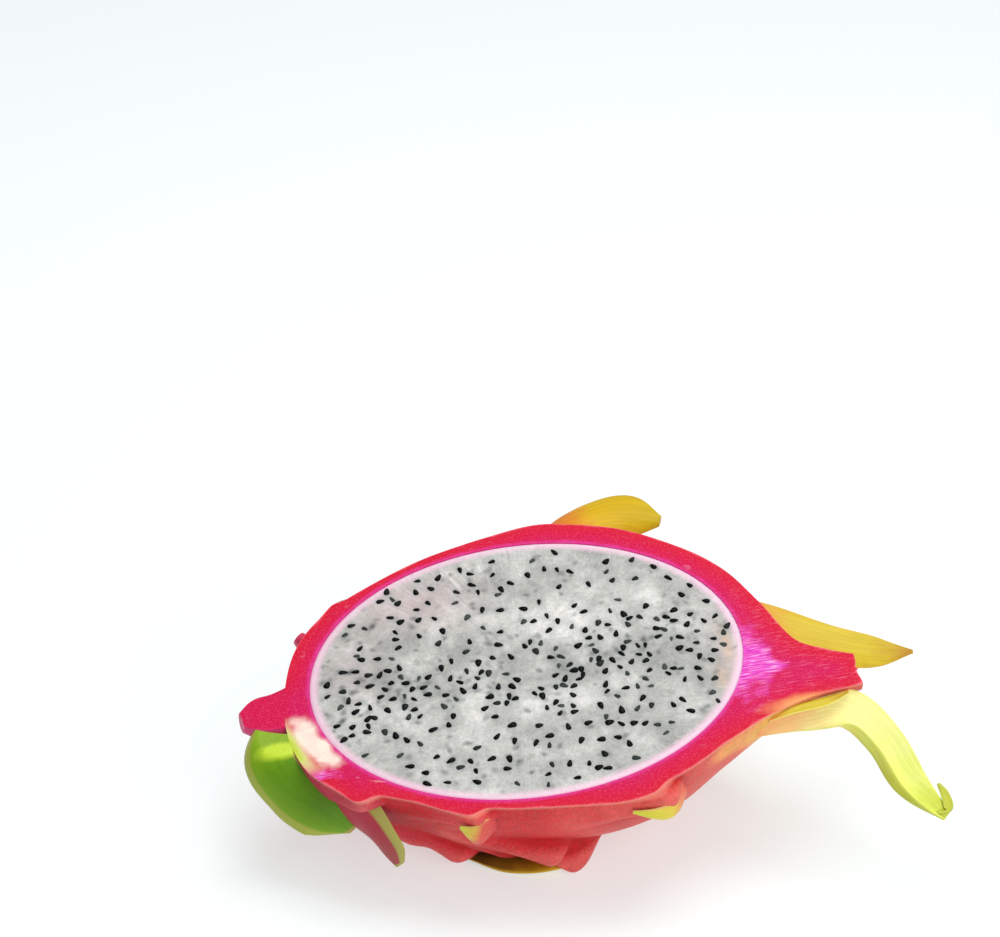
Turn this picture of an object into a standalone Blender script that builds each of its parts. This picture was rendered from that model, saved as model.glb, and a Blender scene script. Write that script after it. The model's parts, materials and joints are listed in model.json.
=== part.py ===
"""Half of a white-fleshed dragon fruit, cut along its length and lying on its back with the cut face up.

It is two pieces that part by hand: the peel, grown in one with its scales, and the pulp with its seeds.
The fruit frame has its origin at the middle of the cut pulp. Its x runs along the fruit to the flower end,
its y across the cut face to the far rim, and its z out of the cut face.
"""

import bpy
import bmesh
import numpy as np
from mathutils import Matrix

MM = 0.001

# How the half lies: its middle above the floor, its roll towards the viewer and the rise of its neck
MIDDLE = np.array([0.0, 0.0, 39.6]) * MM
ROLL = np.radians(15.7)
RISE = np.radians(5.2)

# The pulp: an ellipse on the cut face, and a bowl below it
PULP_HALF_LENGTH = 48.0 * MM
PULP_HALF_WIDTH = 35.9 * MM
PULP_DEPTH = 33.6 * MM
FIT_GAP = 0.3 * MM

# The seeds that show on the cut face: how many, how long, how wide, and how far they stand out of the pulp
SEED_COUNT = 200
SEED_LENGTH = 1.9 * MM
SEED_WIDTH = 1.4 * MM
SEED_RISE = 0.35 * MM
SEED_ROOT = 0.5 * MM
SEED_SIDES = 6
SEED_SPACING = 2.7 * MM
SEED_MARGIN = 2.2 * MM
SEED_DRAW = 7

# The peel's stations, from the stem end to the neck's cut end: x, near rim y, far rim y and depth
STATIONS = np.array(
    [
        (-55.6, -6.0, -6.0, 0.0),
        (-54.7, -13.0, 3.5, 8.5),
        (-51.2, -21.0, 14.5, 17.0),
        (-44.0, -26.4, 23.4, 24.5),
        (-32.0, -31.0, 30.6, 31.0),
        (-16.0, -36.6, 37.0, 36.0),
        (6.0, -39.6, 40.8, 38.5),
        (24.0, -36.6, 37.2, 36.2),
        (38.0, -29.0, 28.6, 28.5),
        (47.0, -24.4, 19.6, 21.0),
        (53.0, -22.2, 8.2, 14.0),
        (58.0, -20.8, -3.6, 9.0),
        (64.0, -19.9, -8.0, 6.6),
        (70.0, -19.3, -10.8, 5.6),
    ]
) * MM
RINGS = 62
RING_POINTS = 38
RIM_SPARE = 3.0 * MM

# The shields, the raised panels below the scales: apex x and angle (deg), length, half width, height and fall
SHIELDS = [
    (-40.0, 4.0, 12.0, 8.0, 3.5, 4.0),
    (-16.4, 4.0, 22.0, 9.0, 3.4, 3.0),
    (23.6, 5.0, 24.0, 9.0, 5.0, 3.5),
    (0.0, 36.0, 34.0, 12.0, 5.8, 3.5),
    (5.0, 46.0, 24.0, 15.0, 9.4, 6.0),
    (-8.5, 50.0, 24.0, 18.0, 5.4, 8.0),
    (-19.0, 50.0, 24.0, 15.0, 7.4, 6.0),
    (-29.5, 46.0, 16.0, 14.0, 4.8, 7.0),
    (14.0, 82.0, 70.0, 28.0, 5.0, 3.5),
    (36.0, 84.0, 30.0, 14.0, 4.2, 3.5),
    (-24.0, 100.0, 26.0, 15.0, 3.6, 3.5),
    (24.0, 112.0, 36.0, 16.0, 4.6, 3.5),
    (2.0, 138.0, 40.0, 17.0, 4.8, 3.5),
    (39.0, 138.0, 28.0, 12.0, 3.8, 3.5),
    (-26.0, 150.0, 26.0, 14.0, 4.0, 3.5),
    (20.0, 172.0, 24.0, 11.0, 3.2, 3.5),
    (-38.0, 176.0, 8.0, 5.0, 1.8, 3.5),
]
SHIELD_WAIST = 0.45
SHIELD_POINT = 5.0 * MM
SHIELD_LEVEL = 0.35
SHIELD_LEAD = 0.5

# The scales and bracts that stand free, in the fruit frame: the points of the middle line, the way across
# the blade at its root and at its tip, the half widths and thicknesses along it, and how far its edges cup
BLADES = {
    "stem_scale": (
        [(-57, -7, -2.6), (-58.8, -12.6, -4), (-55, -17.2, -8), (-49.6, -21.2, -11.4), (-44.4, -25.2, -16.6)],
        [(1, 0, 0), (0.8, 0.1, 0.5), (0.7, 0.1, 0.65)],
        [6.0, 6.8, 6.9, 7.8, 6.8, 2.6],
        [9.0, 8.0, 6.0, 4.2, 1.6],
        0.1,
    ),
    "stem_stub": (
        [(-50, -1, -3.4), (-57, -1.5, -2.6), (-61.5, -2, -1.8), (-65, -2.6, -1.2)],
        [(0, 1, 0), (0, 1, 0)],
        [9.0, 6.0, 5.0, 2.4],
        [11.0, 9.0, 7.5, 4.0],
        0.0,
    ),
    "rim_scale": (
        [(-47, -22, -8.5), (-41.8, -27.8, -9), (-37.8, -32.8, -11.8), (-34.5, -36.4, -16.4)],
        [(0.25, -0.2, 1), (0.3, -0.1, 0.9)],
        [9.0, 7.8, 5.2, 3.3, 1.5],
        [4.4, 3.4, 2.6, 1.4],
        -0.15,
    ),
    "notch_tip": (
        [(-15.6, -36.6, -5.6), (-17.4, -38.6, -5.4), (-19.6, -38.9, -4.6), (-22.0, -38.0, -3.3)],
        [(0.25, 0.1, 1), (0.1, 0, 1)],
        [3.8, 3.9, 2.3, 0.4],
        [3.6, 2.6, 2.0, 0.7],
        0.0,
    ),
    "shoulder_tip": (
        [(25.2, -35.6, -6.0), (23.0, -40.2, -5.6), (19.4, -41.6, -4.6), (14.6, -41.2, -3.4)],
        [(0.3, 0.1, 1), (0.1, 0, 1)],
        [4.2, 3.5, 2.1, 0.4],
        [5.0, 4.0, 2.4, 0.8],
        0.0,
    ),
    "belly_scale": (
        [(8, -24, -27), (3, -28, -30.4), (-4, -29.4, -31.6), (-12, -27.8, -31.6), (-21.6, -24.8, -31.2)],
        [(0.1, -0.96, 0.27), (0.1, -0.96, 0.27)],
        [5.0, 5.0, 4.8, 4.2, 1.0],
        [3.0, 2.4, 2.2, 1.8, 1.0],
        0.0,
    ),
    "long_bract": (
        [
            (44, -23, -4),
            (56, -21.6, -4),
            (65.4, -22.8, -4.8),
            (71.4, -29.4, -9),
            (75.6, -36.6, -15),
            (83.4, -43.4, -20),
        ],
        [(-0.1, 0.3, 1), (0.3, 0.9, 0.5), (0.75, 0.5, 0.5), (0.8, 0.5, 0.4)],
        [2.6, 4.0, 4.6, 4.4, 4.0, 1.2],
        [3.0, 3.4, 3.0, 2.4, 2.2, 1.4],
        0.25,
    ),
    "bract_hook": (
        [(81.6, -42.4, -19.4), (84, -42.4, -18.8), (83.8, -40.2, -16.8), (82.6, -38.2, -14.8)],
        [(0.5, 0.5, -0.5), (0.8, 0.2, 0)],
        [1.2, 1.6, 1.2, 0.4],
        [1.4, 1.4, 1.1, 0.8],
        0.0,
    ),
    "back_bract": (
        [(47, 9.6, -6), (57, 4.8, -6.5), (68, -0.8, -7.6), (77, -4.4, -8.2), (85, -6.6, -7.8)],
        [(0.3, 1, 0.2), (0.3, 1, 0.3)],
        [5.6, 6.2, 6.0, 4.4, 0.6],
        [3.4, 2.6, 2.0, 1.6, 1.0],
        0.1,
    ),
    "far_scale": (
        [(8, 37, -5.5), (18, 42, -4.4), (27.5, 42.8, -3.2), (36.6, 38.6, -2.2)],
        [(0.2, 1, 0), (-0.2, 1, 0.1)],
        [4.6, 6.2, 6.9, 6.2, 1.4],
        [4.0, 3.0, 2.2, 1.3],
        -0.1,
    ),
    "rim_curl": (
        [(-45.6, 14.6, -4.6), (-48.4, 18.4, -3.4), (-50, 20.4, -2.8)],
        [(0.8, 0.6, 0), (0.8, 0.6, 0)],
        [2.6, 2.2, 1.6],
        [6.0, 5.0, 3.6],
        0.0,
    ),
}
BLADE_ROWS = 9
BLADE_SIDES = 10

# The scales on the sides that the cut face hides: x, angle (deg), half width, length, and lift off the skin
HIDDEN_SCALES = [
    (36.0, 84.0, 8.0, 15.0, 2.6),
    (-24.0, 100.0, 9.0, 14.0, 1.0),
    (24.0, 112.0, 9.5, 16.0, 2.2),
    (2.0, 138.0, 10.0, 19.0, 6.0),
    (39.0, 138.0, 8.0, 17.0, 5.5),
    (-26.0, 150.0, 9.5, 17.0, 5.0),
]
SCALE_TAPER = [0.75, 1.0, 0.72, 0.08]
SCALE_THICKNESS = [4.0, 3.0, 2.0, 1.0]
SCALE_CUP = -0.12

# Half the side of the blocks that stand for the knife's cut and the floor
BLOCK_REACH = 0.2


def smooth_step(t):
    """0 below 0, 1 above 1, and a cubic with level ends between."""
    t = np.clip(t, 0.0, 1.0)
    return t * t * (3.0 - 2.0 * t)


def through(points, t):
    """The Catmull-Rom curve through the points, at t from 0 at the first to 1 at the last."""
    points = np.asarray(points, float)
    last = len(points) - 1
    t = np.clip(np.asarray(t, float), 0.0, 1.0) * last
    i = np.minimum(t.astype(int), last - 1)
    f = t - i
    if points.ndim > 1:
        f = f[..., None]
    padded = np.concatenate([[2 * points[0] - points[1]], points, [2 * points[-1] - points[-2]]])
    before, start, end, after = (padded[i + k] for k in range(4))
    bend = 2 * before - 5 * start + 4 * end - after
    twist = 3 * start - before - 3 * end + after
    return start + 0.5 * ((end - before) * f + bend * f**2 + twist * f**3)


def unit(vectors):
    """The vectors at length 1."""
    return vectors / np.maximum(np.linalg.norm(vectors, axis=-1, keepdims=True), 1e-12)


def station(x):
    """The s at which the body's middle line passes x."""
    steps = np.linspace(0.0, 1.0, 600)
    return np.interp(x, through(STATIONS, steps)[:, 0], steps)


def body_point(s, theta):
    """The smooth body: at s along the stations, a half ellipse from near rim (theta 0) to far rim (pi)."""
    x, near, far, depth = np.moveaxis(through(STATIONS, s), -1, 0)
    middle, half = (near + far) / 2, (far - near) / 2
    return np.stack(np.broadcast_arrays(x, middle - half * np.cos(theta), -depth * np.sin(theta)), axis=-1)


def outward(s, theta):
    """The smooth body's outward direction."""
    step = 1e-3
    along = body_point(np.minimum(s + step, 1.0), theta) - body_point(np.maximum(s - step, 0.0), theta)
    around = body_point(s, theta + step) - body_point(s, theta - step)
    return unit(np.cross(around, along))


def shield_height(s, theta):
    """How far the shields raise the skin: each climbs ever steeper over its length, rounds off at its apex,
    which stands forward of its sides, and is level across with rounded edges; the highest shows."""
    x, near, far, depth = np.moveaxis(through(STATIONS, s), -1, 0)
    radius = np.sqrt(np.maximum((far - near) / 2 * depth, 0.0))
    total = 0.0
    for apex, angle, length, half_width, height, fall in SHIELDS:
        back = (apex * MM - x) / (length * MM)
        width = half_width * MM * (SHIELD_WAIST + (1 - SHIELD_WAIST) * smooth_step(back))
        edge = np.abs(theta - np.radians(angle)) * radius / width
        past = x - apex * MM + SHIELD_POINT * np.minimum(edge, 1.0) ** 2
        climb = np.maximum(1 + past / (length * MM), 0.0) ** 2
        drop = 1 - smooth_step((past / (fall * MM) + SHIELD_LEAD) / (1 + SHIELD_LEAD))
        across = 1 - smooth_step((edge - SHIELD_LEVEL) / (1 - SHIELD_LEVEL))
        total = total + (height * MM * climb * drop * across) ** 4
    return total**0.25


def skin_point(s, theta):
    """The peel's outer skin: the smooth body raised by the shields."""
    s, theta = np.broadcast_arrays(s, theta)
    return body_point(s, theta) + outward(s, theta) * shield_height(s, theta)[..., None]


def fruit_to_world():
    """The turn and the move from the fruit frame to the world."""
    return Matrix.Translation(MIDDLE) @ Matrix.Rotation(-RISE, 4, "Y") @ Matrix.Rotation(ROLL, 4, "X")


def add_object(name, points, faces):
    """A mesh object of points in the fruit frame and faces, placed in the world, its faces outwards."""
    mesh = bpy.data.meshes.new(name)
    bm = bmesh.new()
    verts = [bm.verts.new(point) for point in points]
    for face in faces:
        bm.faces.new([verts[i] for i in face])
    bmesh.ops.recalc_face_normals(bm, faces=bm.faces[:])
    if bm.calc_volume(signed=True) < 0:
        bmesh.ops.reverse_faces(bm, faces=bm.faces[:])
    bm.to_mesh(mesh)
    bm.free()
    item = bpy.data.objects.new(name, mesh)
    item.matrix_world = fruit_to_world()
    bpy.context.scene.collection.objects.link(item)
    return item


def add_loft(name, rings):
    """A closed solid through equal rings of points, with its ends closed to their middles."""
    count, around = rings.shape[:2]
    points = list(rings.reshape(-1, 3)) + [rings[0].mean(axis=0), rings[-1].mean(axis=0)]
    faces = []
    for i in range(count - 1):
        for j in range(around):
            k = (j + 1) % around
            faces.append((i * around + j, i * around + k, (i + 1) * around + k, (i + 1) * around + j))
    for j in range(around):
        k = (j + 1) % around
        faces.append((len(points) - 2, k, j))
        faces.append((len(points) - 1, (count - 1) * around + j, (count - 1) * around + k))
    return add_object(name, points, faces)


def add_body():
    """The peel's full outer solid, a little higher than the cut, so that the knife trims it."""
    s = np.linspace(0.006, 1.0, RINGS)[:, None]
    theta = ((np.arange(RING_POINTS) + 0.5) / RING_POINTS * np.pi)[None, :]
    rims = skin_point(s, np.array([[0.0, np.pi]])) + np.array([0.0, 0.0, RIM_SPARE])
    return add_loft("rind", np.concatenate([rims[:, :1], skin_point(s, theta), rims[:, 1:]], axis=1))


def blade_rings(spine, sides, widths, thicknesses, cup):
    """Rings along a blade: ellipses as wide and thick as listed, whose edges bend by the cup."""
    t = np.linspace(0.0, 1.0, BLADE_ROWS)
    middle = through(spine, t)
    tangent = unit(through(spine, t + 0.01) - through(spine, t - 0.01))
    side = unit(through(sides, t))
    side = unit(side - tangent * (side * tangent).sum(axis=1, keepdims=True))
    normal = np.cross(tangent, side)
    turn = np.linspace(0.0, 2 * np.pi, BLADE_SIDES, endpoint=False)[None, :, None]
    half_width = through(widths, t)[:, None, None]
    half_thickness = through(thicknesses, t)[:, None, None] / 2
    bend = half_thickness * np.sin(turn) + cup * half_width * np.cos(turn) ** 2
    return (middle[:, None] + side[:, None] * half_width * np.cos(turn) + normal[:, None] * bend) * MM


def hidden_scale(x, angle, half_width, length, lift):
    """A scale that grows from its shield's apex towards the flower end and lifts off the skin to its tip."""
    theta = np.radians(angle)
    along = np.array([-9.0, -1.0, length * 0.5, length])
    out = np.array([-2.2, 0.0, 0.5 + lift * 0.4, lift])
    s = station((x + along) * MM)
    height = shield_height(s, theta) / MM
    height[2:] = height[1] * np.array([0.75, 0.6])
    spine = body_point(s, theta) / MM + outward(s, theta) * (height + out)[:, None]
    across = unit(body_point(s[1:2], theta + 0.01) - body_point(s[1:2], theta - 0.01))[0]
    return spine, [across, across], np.array(SCALE_TAPER) * half_width, SCALE_THICKNESS, SCALE_CUP


def apply_modifiers(item):
    """The item's mesh as its modifiers leave it, with the modifiers gone."""
    depsgraph = bpy.context.evaluated_depsgraph_get()
    mesh = bpy.data.meshes.new_from_object(item.evaluated_get(depsgraph))
    item.modifiers.clear()
    item.data = mesh


def join_all(item, name, others, solver):
    """One Boolean union of the item with a collection of the others, which are then removed."""
    group = bpy.data.collections.new(name)
    bpy.context.scene.collection.children.link(group)
    for other in others:
        group.objects.link(other)
    modifier = item.modifiers.new(name, "BOOLEAN")
    modifier.operation = "UNION"
    modifier.operand_type = "COLLECTION"
    modifier.collection = group
    modifier.solver = solver
    apply_modifiers(item)
    for other in others:
        bpy.data.objects.remove(other)
    bpy.data.collections.remove(group)


def cut_away(item, cutter):
    """The item less the cutter, which is then removed."""
    modifier = item.modifiers.new("cut", "BOOLEAN")
    modifier.operation = "DIFFERENCE"
    modifier.object = cutter
    modifier.solver = "EXACT"
    apply_modifiers(item)
    bpy.data.objects.remove(cutter)


def pulp_rings(gap, spare):
    """Rings of the pulp's bowl, from the cut (or spare above it) to the bottom, grown by the gap."""
    turn = np.linspace(0.0, 2 * np.pi, 48, endpoint=False)[None, :]
    down = np.radians([0.0, 8.0, 17.0, 27.0, 38.0, 50.0, 63.0, 76.0, 86.0])[:, None]
    x = (PULP_HALF_LENGTH + gap) * np.cos(turn) * np.cos(down)
    y = (PULP_HALF_WIDTH + gap) * np.sin(turn) * np.cos(down)
    z = np.broadcast_to(-(PULP_DEPTH + gap) * np.sin(down), x.shape)
    rings = np.stack([x, y, z], axis=-1)
    if spare:
        rings = np.concatenate([rings[:1] + np.array([0.0, 0.0, spare]), rings])
    return rings


def seed_places():
    """Seeds scattered over the cut pulp, none nearer than their spacing and thicker along the middle."""
    draw = np.random.default_rng(SEED_DRAW)
    places = []
    while len(places) < SEED_COUNT:
        x, y = draw.uniform(-1, 1, 2) * (PULP_HALF_LENGTH - SEED_MARGIN, PULP_HALF_WIDTH - SEED_MARGIN)
        inside = (x / (PULP_HALF_LENGTH - SEED_MARGIN)) ** 2 + (y / (PULP_HALF_WIDTH - SEED_MARGIN)) ** 2 < 1
        wanted = 0.55 + 0.45 * np.exp(-((y / (9 * MM)) ** 2))
        turn = draw.uniform(0, 2 * np.pi)
        clear = all(np.hypot(x - px, y - py) > SEED_SPACING for px, py, _ in places)
        if inside and clear and draw.uniform() < wanted:
            places.append((x, y, turn))
    return places


def add_seed(x, y, turn):
    """One seed: a pointed oval, sunk into the pulp and domed above it."""
    angles = np.linspace(0.0, 2 * np.pi, SEED_SIDES, endpoint=False)
    point = 1 + 0.25 * np.cos(angles)
    outline = np.stack([SEED_LENGTH / 2 * np.cos(angles) * point, SEED_WIDTH / 2 * np.sin(angles)], axis=1)
    across = np.array([[np.cos(turn), np.sin(turn)], [-np.sin(turn), np.cos(turn)]])
    rings = []
    for size, z in ((1.0, -SEED_ROOT), (0.75, SEED_RISE)):
        flat = outline * size @ across + (x, y)
        rings.append(np.column_stack([flat, np.full(SEED_SIDES, z)]))
    return add_loft("seed", np.stack(rings))


def add_material(item, colour, roughness):
    """A plain Principled material on the item, with no metal in it."""
    material = bpy.data.materials.new(item.name)
    material.use_nodes = True
    shader = material.node_tree.nodes["Principled BSDF"]
    shader.inputs["Base Color"].default_value = (*colour, 1.0)
    shader.inputs["Roughness"].default_value = roughness
    shader.inputs["Metallic"].default_value = 0.0
    material.diffuse_color = (*colour, 1.0)
    item.data.materials.clear()
    item.data.materials.append(material)


def shade_round(item):
    """Smooth shading, with the edge of the cut left sharp."""
    item.data.shade_smooth()
    item.data.set_sharp_from_angle(angle=np.radians(40.0))


def add_block(name, low, high):
    """A wide block between two heights of the fruit frame."""
    square = np.array([(-1, -1), (1, -1), (1, 1), (-1, 1)]) * BLOCK_REACH
    return add_loft(name, np.stack([np.column_stack([square, np.full(4, z)]) for z in (low, high)]))


def add_rind():
    """The peel with its scales in one, cut flat above, hollowed for the pulp, flat where it rests."""
    rind = add_body()
    blades = [add_loft(name, blade_rings(*shape)) for name, shape in BLADES.items()]
    blades += [add_loft("scale", blade_rings(*hidden_scale(*place))) for place in HIDDEN_SCALES]
    join_all(rind, "scales", blades, "EXACT")
    cut_away(rind, add_block("knife", 0.0, BLOCK_REACH))
    cut_away(rind, add_loft("hollow", pulp_rings(FIT_GAP, RIM_SPARE)))
    floor = add_block("floor", -BLOCK_REACH, 0.0)
    floor.matrix_world = Matrix.Identity(4)
    cut_away(rind, floor)
    add_material(rind, (0.72, 0.06, 0.14), 0.45)
    shade_round(rind)


def add_flesh():
    """The pulp, flat on top with its seeds standing just out of it."""
    flesh = add_loft("flesh", pulp_rings(0.0, 0.0))
    seeds = [add_seed(*place) for place in seed_places()]
    join_all(flesh, "seeds", seeds, "MANIFOLD")
    add_material(flesh, (0.82, 0.84, 0.82), 0.3)
    shade_round(flesh)


def main():
    """The scene emptied, then the two pieces built."""
    for item in list(bpy.data.objects):
        bpy.data.objects.remove(item, do_unlink=True)
    add_rind()
    add_flesh()


main()
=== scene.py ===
# %% [markdown]
# # Half of a dragon fruit
# This lesson dresses a plain solid model of a dragon fruit that was cut along its length. The plain model
# gives the sizes and the place of everything. Each piece made here keeps to it, and adds the finer form and
# the finish.

# %% Load the plain model
import json
from functools import partial
import bpy
import bmesh
import numpy as np
from mathutils import Matrix, Vector

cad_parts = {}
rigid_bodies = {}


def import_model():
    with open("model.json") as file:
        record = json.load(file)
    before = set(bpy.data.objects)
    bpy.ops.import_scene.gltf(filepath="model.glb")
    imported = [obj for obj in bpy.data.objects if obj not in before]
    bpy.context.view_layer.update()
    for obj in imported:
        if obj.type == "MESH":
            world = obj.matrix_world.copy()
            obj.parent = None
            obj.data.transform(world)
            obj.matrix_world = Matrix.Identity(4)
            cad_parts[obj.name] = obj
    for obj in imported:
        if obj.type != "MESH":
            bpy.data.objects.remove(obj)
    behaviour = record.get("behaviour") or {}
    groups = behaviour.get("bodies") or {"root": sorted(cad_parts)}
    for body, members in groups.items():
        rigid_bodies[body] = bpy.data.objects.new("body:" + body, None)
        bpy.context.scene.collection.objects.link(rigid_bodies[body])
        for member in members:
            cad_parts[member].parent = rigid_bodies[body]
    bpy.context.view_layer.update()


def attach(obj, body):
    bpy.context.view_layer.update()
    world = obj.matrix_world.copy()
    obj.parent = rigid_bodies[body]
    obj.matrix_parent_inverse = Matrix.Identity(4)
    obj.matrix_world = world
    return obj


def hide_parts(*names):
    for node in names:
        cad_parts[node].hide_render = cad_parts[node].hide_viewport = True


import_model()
MM = 0.001

# %% [markdown]
# ## The fruit's own frame
# The half lies tilted, so it is easier to shape it in a frame of its own. The origin is the middle of the
# cut pulp, x runs along the fruit to its flower end, y across the cut face, and z stands out of the cut.
# One turn and one move then place every finished point in the world.

# %% Place the fruit frame
MIDDLE = np.array([0.0, 0.0, 39.6]) * MM
ROLL = np.radians(15.7)
RISE = np.radians(5.2)
TURN = np.array(Matrix.Rotation(-RISE, 3, "Y") @ Matrix.Rotation(ROLL, 3, "X"))


def to_world(points):
    """Fruit frame to world: the turn times the point, plus the middle."""
    return points @ TURN.T + MIDDLE


print("the cut face leans", round(float(np.degrees(np.arccos(TURN[2, 2]))), 1), "degrees")

# %% [markdown]
# ## Curves that pass through listed points
# A fruit has no straight lines, and its sections change slowly along it. A Catmull-Rom curve passes through
# a few measured sections and fills in between. It could be drawn as a Bezier curve by hand, but then the
# numbers of the plain model couldn't be used again.


# %% Curve helpers
def smooth_step(t):
    """0 below 0, 1 above 1, and 3 t squared less 2 t cubed between."""
    t = np.clip(t, 0.0, 1.0)
    return t * t * (3.0 - 2.0 * t)


def through(points, t):
    """The Catmull-Rom cubic through the points, t running from 0 at the first to 1 at the last."""
    points = np.asarray(points, float)
    last = len(points) - 1
    t = np.clip(np.asarray(t, float), 0.0, 1.0) * last
    i = np.minimum(t.astype(int), last - 1)
    f = t - i
    if points.ndim > 1:
        f = f[..., None]
    padded = np.concatenate([[2 * points[0] - points[1]], points, [2 * points[-1] - points[-2]]])
    before, start, end, after = (padded[i + k] for k in range(4))
    bend = 2 * before - 5 * start + 4 * end - after
    twist = 3 * start - before - 3 * end + after
    return start + 0.5 * ((end - before) * f + bend * f**2 + twist * f**3)


def unit(vectors):
    """Each vector divided by its length."""
    return vectors / np.maximum(np.linalg.norm(vectors, axis=-1, keepdims=True), 1e-12)


def travelled(line):
    """How far each point lies along its line: the sum of the lengths of the steps before it."""
    return np.append(0.0, np.cumsum(np.linalg.norm(np.diff(line, axis=0), axis=1)))


def spot(points, centre, spread):
    """A soft round mark: e to the minus squared distance, counted in spreads along each axis, in mm."""
    away = (points[..., : len(centre)] / MM - np.array(centre)) / np.array(spread)
    return np.exp(-(away**2).sum(axis=-1))


def spots(points, rows):
    """The sum of the rows' round marks, each row a centre, a spread and a strength."""
    return sum(strength * spot(points, centre, spread) for centre, spread, strength in rows)


# %% [markdown]
# ## From numbers to a mesh
# Every surface below is a grid of points, or rows of points. Rows are joined by quads, and a row closes to
# a single point by triangles, so that no hole is left at a pole. Marks are numbers kept at the points,
# which the materials read: how deep a crease is, how near the rim, how far along a leaf.


# %% Mesh helpers
def band(a, b, closed=False):
    """Quads between equal rows of point numbers; closed joins each row's last point to its first."""
    if closed:
        a, b = (np.concatenate([row, row[..., :1]], axis=-1) for row in (a, b))
    return np.stack([a[..., :-1], a[..., 1:], b[..., 1:], b[..., :-1]], axis=-1).reshape(-1, 4)


def fan(row, pole, closed=False):
    """Triangles from a row of point numbers to one pole."""
    if closed:
        row = np.append(row, row[0])
    return np.stack([row[:-1], row[1:], np.full(len(row) - 1, pole)], axis=-1)


def capped(grid):
    """Quads of a tube of closed rings, and triangles from its end rings to the two points after them."""
    triangles = [fan(grid[0], grid.size, True), fan(grid[-1], grid.size + 1, True)]
    return band(grid[:-1], grid[1:], True), np.concatenate(triangles)


def new_object(name, data):
    """An object that shows the data, linked to the scene."""
    item = bpy.data.objects.new(name, data)
    bpy.context.scene.collection.objects.link(item)
    return item


def add_piece(name, points, quads, triangles, node, sharp=50.0):
    """A mesh object of points in the fruit frame, faces outwards, flat where it touches the floor."""
    world = to_world(points)
    world[:, 2] = np.maximum(world[:, 2], 0.0)
    corners = np.concatenate([quads.ravel(), triangles.ravel()]).astype(np.int32)
    starts = np.concatenate([np.arange(len(quads)) * 4, len(quads) * 4 + np.arange(len(triangles)) * 3])
    mesh = bpy.data.meshes.new(name)
    mesh.vertices.add(len(world))
    mesh.vertices.foreach_set("co", world.ravel())
    mesh.loops.add(len(corners))
    mesh.loops.foreach_set("vertex_index", corners)
    mesh.polygons.add(len(starts))
    mesh.polygons.foreach_set("loop_start", starts.astype(np.int32))
    mesh.update(calc_edges=True)
    bm = bmesh.new()
    bm.from_mesh(mesh)
    bmesh.ops.recalc_face_normals(bm, faces=bm.faces[:])
    if bm.calc_volume(signed=True) < 0:
        bmesh.ops.reverse_faces(bm, faces=bm.faces[:])
    open_edges = sum(not edge.is_manifold for edge in bm.edges)
    bm.to_mesh(mesh)
    bm.free()
    mesh.shade_smooth()
    mesh.set_sharp_from_angle(angle=np.radians(sharp))
    item = new_object(name, mesh)
    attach(item, "root")
    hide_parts(node)
    print(name, len(quads) * 2 + len(triangles), "triangles,", open_edges, "open edges")
    return item


def mark(item, **marks):
    """Keeps each array of numbers, or of vectors, at the item's points under its name."""
    for name, values in marks.items():
        values = np.asarray(values, np.float32)
        kind, key = ("FLOAT_VECTOR", "vector") if values.ndim == 2 else ("FLOAT", "value")
        item.data.attributes.new(name, kind, "POINT").data.foreach_set(key, values.ravel())


# %% [markdown]
# ## The body
# Under its scales the fruit is a plump body that narrows to a neck where the flower sat. Half of it is a
# row of half ellipses, so one function of two numbers gives it all: s runs from the stem end to the neck,
# and theta from the near rim under the belly to the far rim. Sculpting would be freer, but the sections
# keep the cut flat.

# %% Body surface
STATIONS = np.array(
    [
        (-55.6, -6, -6, 0),
        (-54.7, -13, 3.5, 8.5),
        (-51.2, -21, 14.5, 17),
        (-44, -26.4, 23.4, 24.5),
        (-32, -31, 30.6, 31),
        (-16, -36.6, 37, 36),
        (6, -39.6, 40.8, 38.5),
        (24, -36.6, 37.2, 36.2),
        (38, -29, 28.6, 28.5),
        (47, -24.4, 19.6, 21),
        (53, -22.2, 8.2, 14),
        (58, -20.8, -3.6, 9),
        (64, -19.9, -8, 6.6),
        (70, -19.3, -10.8, 5.6),
    ]
) * MM


def station(x):
    """The s at which the body's middle line passes x."""
    steps = np.linspace(0.0, 1.0, 600)
    return np.interp(x, through(STATIONS, steps)[:, 0], steps)


def body_point(s, theta):
    """x from the stations; y = middle - half cos(theta); z = -depth sin(theta)."""
    x, near, far, depth = np.moveaxis(through(STATIONS, s), -1, 0)
    middle, half = (near + far) / 2, (far - near) / 2
    return np.stack(np.broadcast_arrays(x, middle - half * np.cos(theta), -depth * np.sin(theta)), axis=-1)


def outward(s, theta):
    """The cross product of the steps around and along the body, at length 1."""
    step = 1e-3
    along = body_point(np.minimum(s + step, 1.0), theta) - body_point(np.maximum(s - step, 0.0), theta)
    around = body_point(s, theta + step) - body_point(s, theta - step)
    return unit(np.cross(around, along))


print("body:", round((STATIONS[-1, 0] - STATIONS[0, 0]) / MM, 1), "mm from stem end to neck")

# %% [markdown]
# ## The shields
# Each scale grows from a raised panel of skin, its shield. It climbs from the stem side, is highest at its
# tip and drops off just past it. Added heights would pile up where shields meet, so the fourth powers are
# added and the fourth root is taken: then the highest one shows, with a soft valley beside it.

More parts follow.
